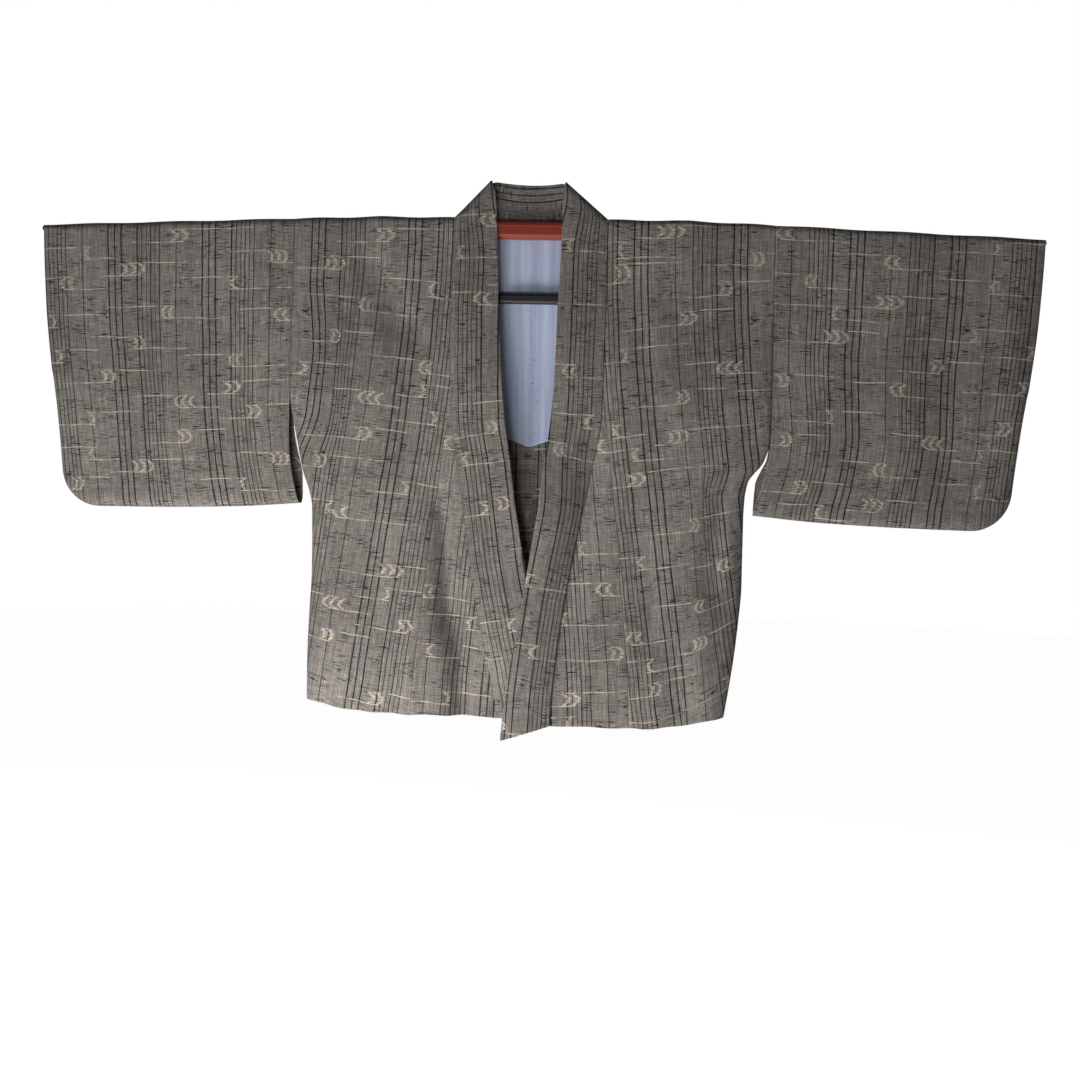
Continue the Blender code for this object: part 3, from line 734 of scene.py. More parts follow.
def graded_shares(length: float, steps: int, edges: tuple[float, ...] = (0.0004, 0.0010, 0.0020)) -> Array:
    """Return shares from 0 to 1 that crowd near both ends.

    Args:
        length: Width that the shares divide.
        steps: Even steps between the crowded ends.
        edges: Distances of the crowded points from each end.

    Returns:
        The rising shares.
    """
    near = [distance / length for distance in edges]
    middle = np.linspace(near[-1], 1.0 - near[-1], steps + 1)[1:-1]
    return np.array([0.0, *near, *middle, *(1.0 - share for share in reversed(near)), 1.0])


SEAM_DIP = 0.0006
SEAM_DIP_REACH = 0.0022


def hanging_levels(low: float, high: float, count: int) -> Array:
    """Return levels from low to high, crowded at the hem."""
    return np.concatenate(([low, low + 0.0012], np.linspace(low + 0.003, high, count)))


def edge_dip(distance: Array) -> Array:
    """Return how far cloth turns in at a distance from an edge where it is seamed."""
    return SEAM_DIP * (1.0 - rounding(distance, SEAM_DIP_REACH))


def seam_dip(shares: Array, width: float) -> Array:
    """Return how far cloth turns in at both of its side edges."""
    return edge_dip(np.minimum(shares, 1.0 - shares) * width)


def unit(vectors: Array) -> Array:
    """Return vectors at a length of one."""
    return vectors / np.maximum(np.linalg.norm(vectors, axis=-1, keepdims=True), 1e-9)


# ---------------------------------------------------------------- nodes


class Signal:
    """A node's output that takes part in arithmetic."""

    def __init__(self, draft: "NodeDraft", socket: bpy.types.NodeSocket) -> None:
        """Wrap an output of one of a draft's nodes."""
        self.draft, self.socket = draft, socket

    def do(self, operation: str, *values: object) -> "Signal":
        """Add a Math node whose first number is this signal."""
        return self.draft.math(operation, self, *values)

    def step(self, low: float, high: float) -> "Signal":
        """Step smoothly from 0 at low to 1 at high."""
        span = {"Value": self, "From Min": low, "From Max": high}
        return self.draft.signal("ShaderNodeMapRange", span, "Result", interpolation_type="SMOOTHSTEP")

    def held(self) -> "Signal":
        """Hold this result between 0 and 1."""
        self.socket.node.use_clamp = True
        return self

    def __add__(self, other: object) -> "Signal":
        """Add a number or signal."""
        return self.do("ADD", other)

    def __sub__(self, other: object) -> "Signal":
        """Take away a number or signal."""
        return self.do("SUBTRACT", other)

    def __rsub__(self, other: object) -> "Signal":
        """Take this signal from a number."""
        return self.draft.math("SUBTRACT", other, self)

    def __mul__(self, other: object) -> "Signal":
        """Multiply by a number or signal."""
        return self.do("MULTIPLY", other)

    def __truediv__(self, other: object) -> "Signal":
        """Divide by a number or signal."""
        return self.do("DIVIDE", other)


class NodeDraft:
    """Adds nodes to one tree and joins them, so that a shader reads like arithmetic."""

    def __init__(self, tree: Tree) -> None:
        """Start drafting in a tree."""
        self.tree = tree

    def feed(self, socket: bpy.types.NodeSocket, value: object) -> None:
        """Link an output into an input, or set the input's own value.

        Args:
            socket: The input.
            value: What goes into it. A colour of three numbers gets full alpha.
        """
        if isinstance(value, Signal):
            value = value.socket
        if isinstance(value, bpy.types.NodeSocket):
            self.tree.links.new(value, socket)
        else:
            socket.default_value = (*value, 1.0) if socket.type == "RGBA" else value

    def add(self, kind: str, inputs: dict[str | int, object] | None = None,
            **settings: object) -> bpy.types.Node:
        """Add a node, set its properties and feed its inputs.

        Args:
            kind: Blender's name of the node.
            inputs: What goes into its inputs, by name or number.
            settings: Its properties.

        Returns:
            The node.
        """
        node = self.tree.nodes.new(kind)
        for name, value in settings.items():
            setattr(node, name, value)
        for key, value in (inputs or {}).items():
            self.feed(node.inputs[key], value)
        return node

    def signal(self, kind: str, inputs: dict[str | int, object] | None = None, output: str | int = 0,
               **settings: object) -> Signal:
        """Add a node, as add does, and return one of its outputs."""
        return Signal(self, self.add(kind, inputs, **settings).outputs[output])

    def math(self, operation: str, *values: object) -> Signal:
        """Add a Math node over numbers or signals."""
        return self.signal("ShaderNodeMath", dict(enumerate(values)), operation=operation)

    def vector(self, x: object, y: object, z: object = 0.0) -> Signal:
        """Join three numbers to a vector."""
        return self.signal("ShaderNodeCombineXYZ", {0: x, 1: y, 2: z})

    def split(self, vector: Signal) -> list[Signal]:
        """Split a vector into its three numbers."""
        return [Signal(self, part) for part in self.add("ShaderNodeSeparateXYZ", {0: vector}).outputs]

    def noise(self, x: object, y: object, detail: float = 0.0, z: object = 0.0) -> Signal:
        """Add smooth noise over numbers that are already scaled."""
        inputs = {"Vector": self.vector(x, y, z), "Scale": 1.0, "Detail": detail}
        return self.signal("ShaderNodeTexNoise", inputs)

    def hash(self, x: object, y: object) -> Signal:
        """Add a random number for each pair of whole numbers."""
        inputs = {"Vector": self.vector(x, y)}
        return self.signal("ShaderNodeTexWhiteNoise", inputs, "Value", noise_dimensions="2D")

    def blend(self, share: object, first: object, second: object) -> Signal:
        """Mix a share of the second colour into the first."""
        node = self.add("ShaderNodeMix", {"Factor": share, "A": first, "B": second}, data_type="RGBA")
        return Signal(self, next(socket for socket in node.outputs if socket.type == "RGBA"))

    def bump(self, height: object, strength: float, distance: float) -> Signal:
        """Turn a height into a bumped normal."""
        inputs = {"Height": height, "Strength": strength, "Distance": distance}
        return self.signal("ShaderNodeBump", inputs)

    def group(self, tree: Tree, **inputs: object) -> dict[str, Signal]:
        """Place a node group, feed its inputs by name and return its outputs by name."""
        node = self.add("ShaderNodeGroup", inputs, node_tree=tree)
        return {socket.name: Signal(self, socket) for socket in node.outputs}


class GroupDraft(NodeDraft):
    """A draft of a node group with named inputs and outputs."""

    def __init__(self, name: str, inputs: dict[str, str], outputs: dict[str, str],
                 kind: str = "ShaderNodeTree") -> None:
        """Start a group.

        Args:
            name: The group's name.
            inputs: The kinds of its inputs, by name.
            outputs: The kinds of its outputs, by name.
            kind: Blender's name of the kind of tree.
        """
        super().__init__(bpy.data.node_groups.new(name, kind))
        for way, ports in (("INPUT", inputs), ("OUTPUT", outputs)):
            for port, socket in ports.items():
                self.tree.interface.new_socket(port, in_out=way, socket_type="NodeSocket" + socket)
        start = self.add("NodeGroupInput")
        self.start = [Signal(self, start.outputs[port]) for port in inputs]

    def finish(self, *results: object) -> Tree:
        """Feed the group's outputs in order and return its tree."""
        self.add("NodeGroupOutput", dict(enumerate(results)))
        return self.tree


class Finish(NodeDraft):
    """A draft of a material."""

    def __init__(self, name: str) -> None:
        """Start a material by its name."""
        self.material = bpy.data.materials.new(name)
        self.material.use_nodes = True
        super().__init__(self.material.node_tree)

    def cloth(self) -> list[Signal]:
        """Read the place on the cloth: across, along and an unused third number."""
        return self.split(self.signal("ShaderNodeUVMap", uv_map="cloth"))

    def place(self) -> list[Signal]:
        """Read the place within the object as three numbers."""
        return self.split(self.signal("ShaderNodeTexCoord", output="Object"))

    def paint(self, inputs: dict[str, object]) -> bpy.types.Material:
        """Feed the Principled shader's inputs by name and return the material."""
        shader = self.tree.nodes["Principled BSDF"]
        for name, value in inputs.items():
            self.feed(shader.inputs[name], value)
        return self.material


CLOTH_PLACE = {"Across": "Float", "Along": "Float"}


@dataclass(frozen=True)
class StripeChart:
    """The dark warp stripes of one repeat, counted inwards from its first bold line."""

    pitch: float = 0.1255
    wander: float = 0.0016
    first: float = 0.0012
    # Millimetres from the start of the repeat, millimetres of width, strength
    stripes: Table = (
        (1.2, 1.95, 1.00), (10.0, 1.75, 0.97), (18.8, 1.95, 1.00), (40.0, 1.90, 0.98),
        (46.1, 1.35, 0.86), (52.2, 1.20, 0.74), (58.0, 1.45, 0.92), (63.6, 1.20, 0.78),
        (69.6, 1.40, 0.90), (80.0, 0.70, 0.30), (91.7, 1.35, 0.86), (108.5, 0.70, 0.30),
    )

    def build(self) -> Tree:
        """Build the group that turns a place on the cloth into the darkness of its stripe.

        Returns:
            The node group.
        """
        draft = GroupDraft("Warp stripes", CLOTH_PLACE, {"Dark": "Float"})
        across, along = draft.start
        drift = (draft.noise(across * 9.0, along * 22.0) - 0.5) * self.wander
        shake = (draft.noise(across * 160.0, along * 420.0) - 0.5) * (0.35 * self.wander)
        place = (across + drift + shake + self.first).do("FLOORED_MODULO", self.pitch)
        dark: object = 0.0
        for middle, width, strength in self.stripes:
            dark = (place.do("COMPARE", middle * MM, width * MM / 2) * strength).do("MAXIMUM", dark)
        wear = draft.noise(across * 260.0, along * 95.0, 1.0).step(0.22, 0.62)
        return draft.finish(dark * (wear * 0.22 + 0.78))


@dataclass(frozen=True)
class CrescentFigure:
    """The woven figure: nested crescents with a pale thread leaving each end."""

    spacing: float = 0.0105
    half_height: float = 0.0078
    bulge: float = 0.0080
    slip: float = 0.0036  # how unevenly each pick of the weft starts
    thread: float = 0.00125
    thread_length: float = 0.094
    thread_spread: float = 0.055
    thread_strength: float = 0.74

    def build(self) -> Tree:
        """Build the group that gives the figure's cream yarn at a place beside its centre.

        Returns:
            The node group.
        """
        draft = GroupDraft("Woven crescents", {"Place": "Vector", "Kind": "Vector"}, {"Cream": "Float"})
        across, along, _ = draft.split(draft.start[0])
        arcs, code, _ = draft.split(draft.start[1])
        seed = code.do("ABSOLUTE")
        pick = (along * 1500.0).do("FLOOR")
        shifted = across + (draft.hash(pick, seed * 91.0) - 0.5) * self.slip
        cell = shifted * (seed * 0.5 + 0.72) / self.spacing + arcs * 0.5
        inside = cell.do("GREATER_THAN", 0.0) * cell.do("LESS_THAN", arcs)
        offset = (cell - (cell.do("FLOOR") + 0.2)) * self.spacing
        height = along.do("ABSOLUTE") / self.half_height
        bend = 1.0 - height.do("MINIMUM", 1.0).do("POWER", seed * 1.4 + 0.9)
        line = (offset - bend * self.bulge).do("ABSOLUTE") * (height * 1.3 + 0.75)
        crescent = (1.0 - line.step(0.0008, 0.0046)) * height.do("LESS_THAN", 1.0) * inside
        kept = draft.hash(pick, seed * 53.0).do("GREATER_THAN", 0.22)
        patch = draft.noise(across * 230.0, along * 900.0, 1.0, seed * 37.0).step(0.34, 0.6)
        crescent = crescent * (kept * 0.7 + 0.3) * (patch * 0.72 + 0.28)
        threads = self._threads(draft, across, along, code.do("SIGN"), seed)
        return draft.finish(crescent.do("MAXIMUM", threads * self.thread_strength))

    def _threads(self, draft: NodeDraft, across: Signal, along: Signal, way: Signal,
                 seed: Signal) -> Signal:
        """Draw the two pale threads, one above and one below, running opposite ways.

        Args:
            draft: The group's draft.
            across: Place across, beside the figure's centre.
            along: Place along, beside the figure's centre.
            way: Which way the upper thread runs, 1 or -1.
            seed: The figure's own number.

        Returns:
            The strength of both threads.
        """
        total: object = 0.0
        wave = (draft.noise(across * 26.0, seed * 50.0) - 0.5) * 0.0034
        shortest = self.thread_length - 0.035
        for upper in (1.0, -1.0):
            height = along - (wave + upper * self.half_height * 1.02)
            near = height.do("ABSOLUTE").do("LESS_THAN", self.thread / 2)
            run = across * (way * upper)
            length = draft.hash(seed * 17.0, upper) * self.thread_spread + shortest
            drawn = near * run.do("GREATER_THAN", -0.006) * (1.0 - (run / length).step(0.75, 1.0))
            fade = draft.noise(across * 95.0, seed, 1.0, upper).step(0.34, 0.60) * 0.84 + 0.16
            total = (drawn * fade).do("MAXIMUM", total)
        return total


@dataclass(frozen=True)
class SlubYarn:
    """Short dark thickenings of the weft, in loose clusters."""

    # Scales along and across the weft, the range of noise that shows, strength, seed
    dashes: Table = (
        (58.0, 700.0, 0.645, 0.685, 1.0, 0.0), (130.0, 950.0, 0.650, 0.690, 0.95, 7.0))

    def build(self) -> Tree:
        """Build the group that gives the darkness of slubs at a place on the cloth.

        Returns:
            The node group.
        """
        draft = GroupDraft("Weft slubs", CLOTH_PLACE, {"Dark": "Float"})
        across, along = draft.start
        dark: object = 0.0
        for run, pick, low, high, strength, seed in self.dashes:
            dash = draft.noise(across * run, along * pick, 0.0, seed).step(low, high)
            dark = (dash * strength).do("MAXIMUM", dark)
        cluster = draft.noise(across * 24.0, along * 60.0, 1.0, 3.0).step(0.46, 0.58)
        return draft.finish(dark * (cluster * 0.88 + 0.12))


@dataclass(frozen=True)
class PlainWeave:
    """Crossing threads of uneven yarn: streaks of tone, and a height for bump."""

    warp_pitch: float = 0.00085
    weft_pitch: float = 0.00080
    # Scales across and along the cloth, and the weight
    streaks: Table = (
        (1300.0, 40.0, 0.60), (330.0, 6.0, 0.22), (70.0, 1300.0, 0.52),
        (12.0, 160.0, 0.12), (900.0, 1100.0, 0.66), (9.0, 7.0, 0.28))

    def build(self) -> Tree:
        """Build the group that gives the tone and height of the weave.

        Returns:
            The node group.
        """
        draft = GroupDraft("Plain weave", CLOTH_PLACE, {"Tone": "Float", "Height": "Float"})
        across, along = draft.start
        tone: object = 0.0
        for seed, (run, pick, weight) in enumerate(self.streaks, 1):
            tone = (draft.noise(across * run, along * pick, 0.0, float(seed)) - 0.5) * weight + tone
        warp = (across * (2 * math.pi / self.warp_pitch)).do("SINE")
        weft = (along * (2 * math.pi / self.weft_pitch)).do("SINE")
        return draft.finish(tone, warp * weft + tone * 2.2)


@dataclass
class ShaderLibrary:
    """The node groups that several finishes share, built once."""

    stripes: Tree = field(default_factory=StripeChart().build)
    crescents: Tree = field(default_factory=CrescentFigure().build)
    slubs: Tree = field(default_factory=SlubYarn().build)
    weave: Tree = field(default_factory=PlainWeave().build)


@dataclass(frozen=True)
class StripedCloth:
    """Greige slub cloth with green-black warp stripes and cream woven crescents."""

    ground: Rgb = (0.190, 0.170, 0.154)
    shade: Rgb = (0.058, 0.050, 0.043)
    light: Rgb = (0.450, 0.406, 0.360)
    stripe: Rgb = (0.006, 0.0095, 0.0085)
    slub: Rgb = (0.022, 0.019, 0.020)
    cream: Rgb = (0.740, 0.655, 0.500)

    def make(self, library: ShaderLibrary) -> bpy.types.Material:
        """Build the finish.

        Args:
            library: Shared node groups.

        Returns:
            The material.
        """
        draft = Finish("striped_slub_cloth")
        across, along, _ = draft.cloth()
        place = draft.signal("ShaderNodeUVMap", uv_map="figure_place")
        kind = draft.signal("ShaderNodeUVMap", uv_map="figure_kind")
        weave = draft.group(library.weave, Across=across, Along=along)
        stripe = draft.group(library.stripes, Across=across, Along=along)["Dark"]
        slub = draft.group(library.slubs, Across=across, Along=along)["Dark"]
        cream = draft.group(library.crescents, Place=place, Kind=kind)["Cream"]
        colour: object = self.ground
        for share, over in (
            ((weave["Tone"] * 2.4).held(), self.light), ((weave["Tone"] * -2.0).held(), self.shade),
            (slub * 0.94, self.slub), (stripe, self.stripe), (cream * 0.80, self.cream),
        ):
            colour = draft.blend(share, colour, over)
        return draft.paint({
            "Base Color": colour, "Roughness": stripe * -0.12 + 0.88, "Specular IOR Level": 0.25,
            "Sheen Weight": 0.10, "Sheen Roughness": 0.5,
            "Normal": draft.bump(weave["Height"] + slub * 1.5, 0.35, 0.00025),
        })


@dataclass(frozen=True)
class LiningCloth:
    """Smooth pale blue lining with faint lengthwise streaks."""

    ground: Rgb = (0.362, 0.412, 0.575)
    light: Rgb = (0.548, 0.605, 0.790)
    dot: Rgb = (0.16, 0.17, 0.24)

    def make(self, library: ShaderLibrary) -> bpy.types.Material:
        """Build the finish.

        Args:
            library: Shared node groups.

        Returns:
            The material.
        """
        draft = Finish("pale_blue_lining")
        across, along, _ = draft.cloth()
        weave = draft.group(library.weave, Across=across, Along=along)
        streak = draft.noise(across * 90.0, along * 3.0, 3.0).step(0.30, 0.72)
        colour = draft.blend((streak + weave["Tone"] * 0.3).held(), self.ground, self.light)
        near_seam = across.do("COMPARE", 0.0, 0.004)
        fleck = draft.noise(across * 420.0, along * 300.0, 0.0, 8.0).step(0.68, 0.74)
        colour = draft.blend(fleck * (near_seam * 0.6 + 0.05), colour, self.dot)
        return draft.paint({
            "Base Color": colour, "Roughness": 0.62, "Sheen Weight": 0.15,
            "Normal": draft.bump(weave["Height"], 0.25, 0.0002),
        })


@dataclass(frozen=True)
class Lacquer:
    """Glossy lacquer on a flat bar, with fine raised lines along it painted lighter as highlights, and slight
    wear.
    """

    name: str
    colour: Rgb
    worn_and_highlight: Rgb
    roughness: float
    middle_z: float
    height: float
    # Painted highlight lines on the bar's raised lines: height of each line in shares of the bar, its half
    # width and strength
    highlight_lines: Table = ((0.20, 0.022, 1.0), (-0.02, 0.012, 0.35), (-0.27, 0.012, 0.35))

    def make(self) -> bpy.types.Material:
        """Build the finish.

        Returns:
            The material.
        """
        draft = Finish(self.name)
        x, y, z = draft.place()
        slope = (x.do("ABSOLUTE") - FORM.bar_level_half).do("MAXIMUM", 0.0)
        level = z + (slope * FORM.arm_slope - self.middle_z)
        brushed = draft.noise(x * 14.0, level * 900.0, 2.0, y)
        line: object = 0.0
        for height, half, strength in self.highlight_lines:
            line = ((level / self.height).do("COMPARE", height, half) * strength).do("MAXIMUM", line)
        grain = draft.noise(x * 60.0, level * 60.0, 4.0, y).step(0.35, 0.75)
        # Painted highlight: the raised lines are mixed towards the lighter second colour, which also gives
        # the brushed wear
        colour = draft.blend(line * 0.55 + brushed.step(0.45, 0.85) * 0.22, self.colour, self.worn_and_highlight)
        colour = draft.blend(grain * 0.25, colour, tuple(0.6 * part for part in self.colour))
        return draft.paint({
            "Base Color": colour, "Roughness": brushed * 0.2 + (self.roughness - 0.1),
            "Normal": draft.bump(line + brushed * 0.3, 0.3, 0.0004),
        })


@dataclass(frozen=True)
class SewingThread:
    """Pale twisted sewing thread."""

    colour: Rgb = (0.62, 0.60, 0.56)

    def make(self) -> bpy.types.Material:
        """Build the finish.

        Returns:
            The material.
        """
        draft = Finish("sewing_thread")
        x, _, z = draft.place()
        twist = draft.noise(x * 2500.0, z * 2500.0, 1.0)
        colour = draft.blend(twist, self.colour, tuple(0.7 * part for part in self.colour))
        return draft.paint({"Base Color": colour, "Roughness": 0.8})


# ---------------------------------------------------------------- the jacket's pieces


@dataclass
class SheetCut:
    """A piece's flat size before it was sewn and hung."""

    width: float
    length: float
    area: float

    def declare(self, piece: bpy.types.Object, rests_on: list[str]) -> None:
        """Do nothing: the piece's cut is not stated anywhere."""


@dataclass
class StripedPiece:
    """What the striped pieces of one side share."""

    side: SideShape
    wall: float = 0.0009
    gap: float = 0.00015  # from a seam to the cloth beside it

    @property
    def number(self) -> int:
        """Return 1 for the wearer's right and 2 for the left."""
        return 1 + (self.side.sign > 0)


@dataclass
class BodyLength(StripedPiece):
    """One length of cloth from the front hem over the shoulder to the back hem."""

    columns: int = 88
    front_step: float = 0.0032
    back_step: float = 0.0046
    side_inset: float = 0.0007
    front_top: float = -0.004
    back_top: float = -0.012
    back_hem: float = -0.614
    ridge_steps: int = 9
    neck_steps: int = 9
    cut: SheetCut = field(default_factory=lambda: SheetCut(0.308, 1.290, 0.300))

    def build(self) -> bpy.types.Object:
        """Build the piece.

        Returns:
            The new object.
        """
        side, form = self.side, FORM
        rows, shares = SheetRows(), graded_shares(0.2, self.columns)
        for level in self._levels(side.hem, self.front_top, self.front_step):
            inner, outer = form.front_inner(side, level) + self.gap, self._outer(level)
            self._add_hanging(rows, shares, (inner, outer), level, front=True)
        shoulder = form.shoulder_half - self.gap
        for angle in np.linspace(-90.0, 90.0, self.ridge_steps):
            turn = math.radians(angle)
            height = form.ridge_z + form.ridge_radius * math.cos(turn)
            inner = side.seam_x if angle < 0 else form.neck_x(side, height)
            reach = mix(inner + self.gap, shoulder, shares)
            rows.add_ridge(side, reach, seam_dip(shares, shoulder - inner), turn,
                           0.0006 * np.sin(reach * 73.0), side.stripe_start)
        for inner, level in form.neck_points(side, self.neck_steps):
            self._add_hanging(rows, shares, (inner + self.gap, shoulder), level - self.gap, front=False)
        for level in self._levels(self.back_hem, self.back_top, self.back_step)[::-1]:
            inner = side.sign * form.back_seam_x(level) + self.gap
            self._add_hanging(rows, shares, (inner, self._outer(level)), level, front=False)
        start = side.stripe_start
        motifs = chart_motifs("front_", side, front_place)
        motifs += SCATTER.fill_behind(start - 0.33, start + 0.02, 0.64, 10 + self.number)
        return make_sheet("cloth_body_" + side.name, rows.points, rows.cloth, self.wall, motifs)

    def _levels(self, low: float, high: float, step: float) -> Array:
        """Return levels from low to high, about a step apart."""
        return hanging_levels(low, high, max(2, round((high - low) / step)))

    def _outer(self, level: float) -> float:
        """Return the outer edge of a row."""
        return float(self.side.edge(level)) - self.side_inset

    def _add_hanging(self, rows: SheetRows, shares: Array, ends: tuple[float, float], level: float,
                     front: bool) -> None:
        """Add a row that hangs straight.

        Args:
            rows: The sheet's rows.
            shares: Shares across.
            ends: Inner and outer end of the row.
            level: Its level.
            front: Whether it is on the front.
        """
        side, form = self.side, FORM
        x = side.sign * mix(*ends, shares)
        dip = seam_dip(shares, abs(ends[1] - ends[0]))
        waver = 0.0007 * np.sin(x * 61.0 + side.sign) + 0.0005 * np.sin(x * 143.0)
        z = form.hung_z(x, level) + form.hem_lift(side, x, level) + form.near_hem(level) * waver
        place = front_place if front else back_place
        rows.add(x, form.body_y(side, x, level, front) + (dip if front else -dip), z, *place(side, x, level))


@dataclass
class OkumiPanel(StripedPiece):
    """The narrow overlap panel between front and collar, pointed at its top."""

    columns: int = 30
    step: float = 0.0034
    cut: SheetCut = field(default_factory=lambda: SheetCut(0.112, 0.400, 0.0225))

    def build(self) -> bpy.types.Object:
        """Build the piece.

        Returns:
            The new object.
        """
        side, form = self.side, FORM
        rows, shares = SheetRows(), graded_shares(0.08, self.columns)
        count = round((form.okumi_top - side.hem) / self.step)
        for level in hanging_levels(side.hem, form.okumi_top + 0.003, count):
            outer = float(form.okumi_seam(level)) - self.gap
            inner = float(side.collar_seam(level)) + self.gap
            x = side.sign * mix(inner, outer, shares)
            tuck = 0.0007 * (1.0 - rounding((1.0 - shares) * (outer - inner), 0.004))
            y = form.body_y(side, x, level, front=True) + seam_dip(shares, outer - inner) + tuck
            z = level + 0.0006 * np.sin(x * 93.0) * form.near_hem(level)
            rows.add(x, y, z, *okumi_place(side, x, level))
        motifs = chart_motifs("okumi_", side, okumi_place)
        return make_sheet("cloth_okumi_" + side.name, rows.points, rows.cloth, self.wall, motifs)


@dataclass
class Sleeve(StripedPiece):
    """One sleeve: cloth folded at the shoulder ridge, closed below and at its rounded corner."""

    width: float = 0.334
    corner: float = 0.048
    cuff_opening_end: float = -0.190
    depth: float = 0.0105
    depth_drop: float = 0.120  # drop by which the sleeve has its full depth
    edge_rounding: float = 0.012
    cuff_depth: float = 0.35  # share of the depth left at the hand opening
    cuff_reach: float = 0.035
    ripple_size: float = 0.00036
    plain_columns: int = 84
    corner_columns: int = 12
    even_rows: int = 98
    low_rows: tuple[float, ...] = (0.970, 0.982, 0.990, 0.996, 0.999, 1.0)
    ridge_steps: int = 9
    cuff_edge: Curve = Curve(
        (-0.380, -0.320, -0.244, -0.183, -0.110, -0.004, 0.020),
        (0.6040, 0.6090, 0.6180, 0.6270, 0.6355, 0.6420, 0.6425),
    )
    bottom_edge: Curve = Curve((0.290, 0.404, 0.517, 0.642), (-0.3555, -0.3640, -0.3675, -0.3690))
    cut: SheetCut = field(default_factory=lambda: SheetCut(0.334, 0.765, 0.246))

    def build(self) -> bpy.types.Object:
        """Build the piece.

        Returns:
            The new object.
        """
        side, form = self.side, FORM
        rows, shares = SheetRows(), self._shares()
        drops = np.concatenate((np.linspace(0.0, 0.955, self.even_rows), self.low_rows))
        for drop in drops[::-1]:
            self._add_hanging(rows, shares, drop, front=True)
        reach = form.shoulder_half + self.gap + self.width * shares
        dip = edge_dip(shares * self.width)
        for angle in np.linspace(-90.0, 90.0, self.ridge_steps)[1:-1]:
            rows.add_ridge(side, reach, dip, math.radians(angle), 0.0005 * np.sin(reach * 57.0),
                           side.sleeve_stripe_start)
        for drop in drops:
            self._add_hanging(rows, shares, drop, front=False)
        start = side.sleeve_stripe_start
        motifs = chart_motifs("sleeve_", side, self._front_place)
        motifs += SCATTER.fill_behind(start - 0.65, start - 0.30, 0.40, 30 + self.number)
        return make_sheet("cloth_sleeve_" + side.name, rows.points, rows.cloth, self.wall, motifs, weld=True)

    def _shares(self) -> Array:
        """Return shares across, even over the plain width and then round the corner."""
        plain = 1.0 - self.corner / self.width
        even = plain * graded_shares(0.29, self.plain_columns, (0.0004, 0.0012))
        turn = np.radians(90.0 * np.arange(1, self.corner_columns + 1) / self.corner_columns)
        return np.concatenate((even, plain + (1.0 - plain) * np.sin(turn)))

    def _bottom(self, shares: Array) -> Array:
        """Return the level of the bottom edge, rounded up to the cuff at the corner."""
        level = self.bottom_edge(FORM.shoulder_half + self.width * shares)
        into = np.clip((shares - 1.0) * self.width / self.corner + 1.0, 0.0, 1.0)
        return level + self.corner * (1.0 - np.sqrt(1.0 - into**2))

    def _add_hanging(self, rows: SheetRows, shares: Array, drop: float, front: bool) -> None:
        """Add a row of one layer.

        Args:
            rows: The sheet's rows.
            shares: Shares across.
            drop: The row's share of the way down.
            front: Whether the layer is the front one.
        """
        side, form = self.side, FORM
        flat_x = form.shoulder_half + self.width * shares
        top, bottom = form.ridge_z - form.arm_drop(flat_x), self._bottom(shares)
        z = mix(top, bottom, drop)
        inner, outer = (side.sleeve_front if front else side.sleeve_back)(z) + self.gap, self.cuff_edge(z)
        x = mix(inner, outer, shares)
        depth = mix(form.ridge_radius, self.depth, smooth((top - z) / self.depth_drop))
        below = smooth((self.cuff_opening_end - z) / 0.014)
        opening = mix(self.cuff_depth, 1.0, rounding(outer - x, self.cuff_reach))
        closing = mix(opening, rounding(outer - x, self.edge_rounding), below)
        closing = closing * rounding(z - bottom, self.edge_rounding)
        layer = "sleeve_front" if front else "sleeve_back"
        calm = smooth((top - z) / form.calm_top)
        calm = calm * smooth((x - inner) / form.calm_edge) * smooth((outer - x) / form.calm_edge)
        folded = form.crease_depth((Panel(layer), Panel(f"{layer}_{side.name}")), x, z)
        seed = 7.0 + side.sign + (0.5 if front else 0.0)
        folded = folded + form.ripple(x, z, self.ripple_size, seed) * calm
        y = np.maximum(0.0, depth - folded - edge_dip(x - inner)) * closing
        across, along = self._place(flat_x, top - z)
        rows.add(side.sign * x, -y if front else y, z, across, -along if front else along)

    def _front_place(self, side: SideShape, x: Array, level: Array) -> tuple[Array, Array]:
        """Find a front point's place on the cloth, as the body's front_place does."""
        inner, outer = side.sleeve_front(level), self.cuff_edge(level)
        flat_x = FORM.shoulder_half + self.width * (np.abs(x) - inner) / (outer - inner)
        across, along = self._place(flat_x, FORM.ridge_z - FORM.arm_drop(flat_x) - level)
        return across, -along

    def _place(self, flat_x: Array, drop: Array) -> tuple[Array, Array]:
        """Find a point's place on the cloth from where it lay before it hung."""
        pull = 0.006 * smooth((drop - 0.22) / 0.10) * smooth((0.50 - flat_x) / 0.12)
        if self.side.sign > 0:
            pull = -0.0085 * smooth((drop - 0.15) / 0.12) * smooth((0.64 - flat_x) / 0.08)
        return self.side.sleeve_stripe_start - flat_x - pull, FORM.quarter_turn + drop


BandRow = tuple[Array, float]  # points from the seam to the folded edge, and the stripe start


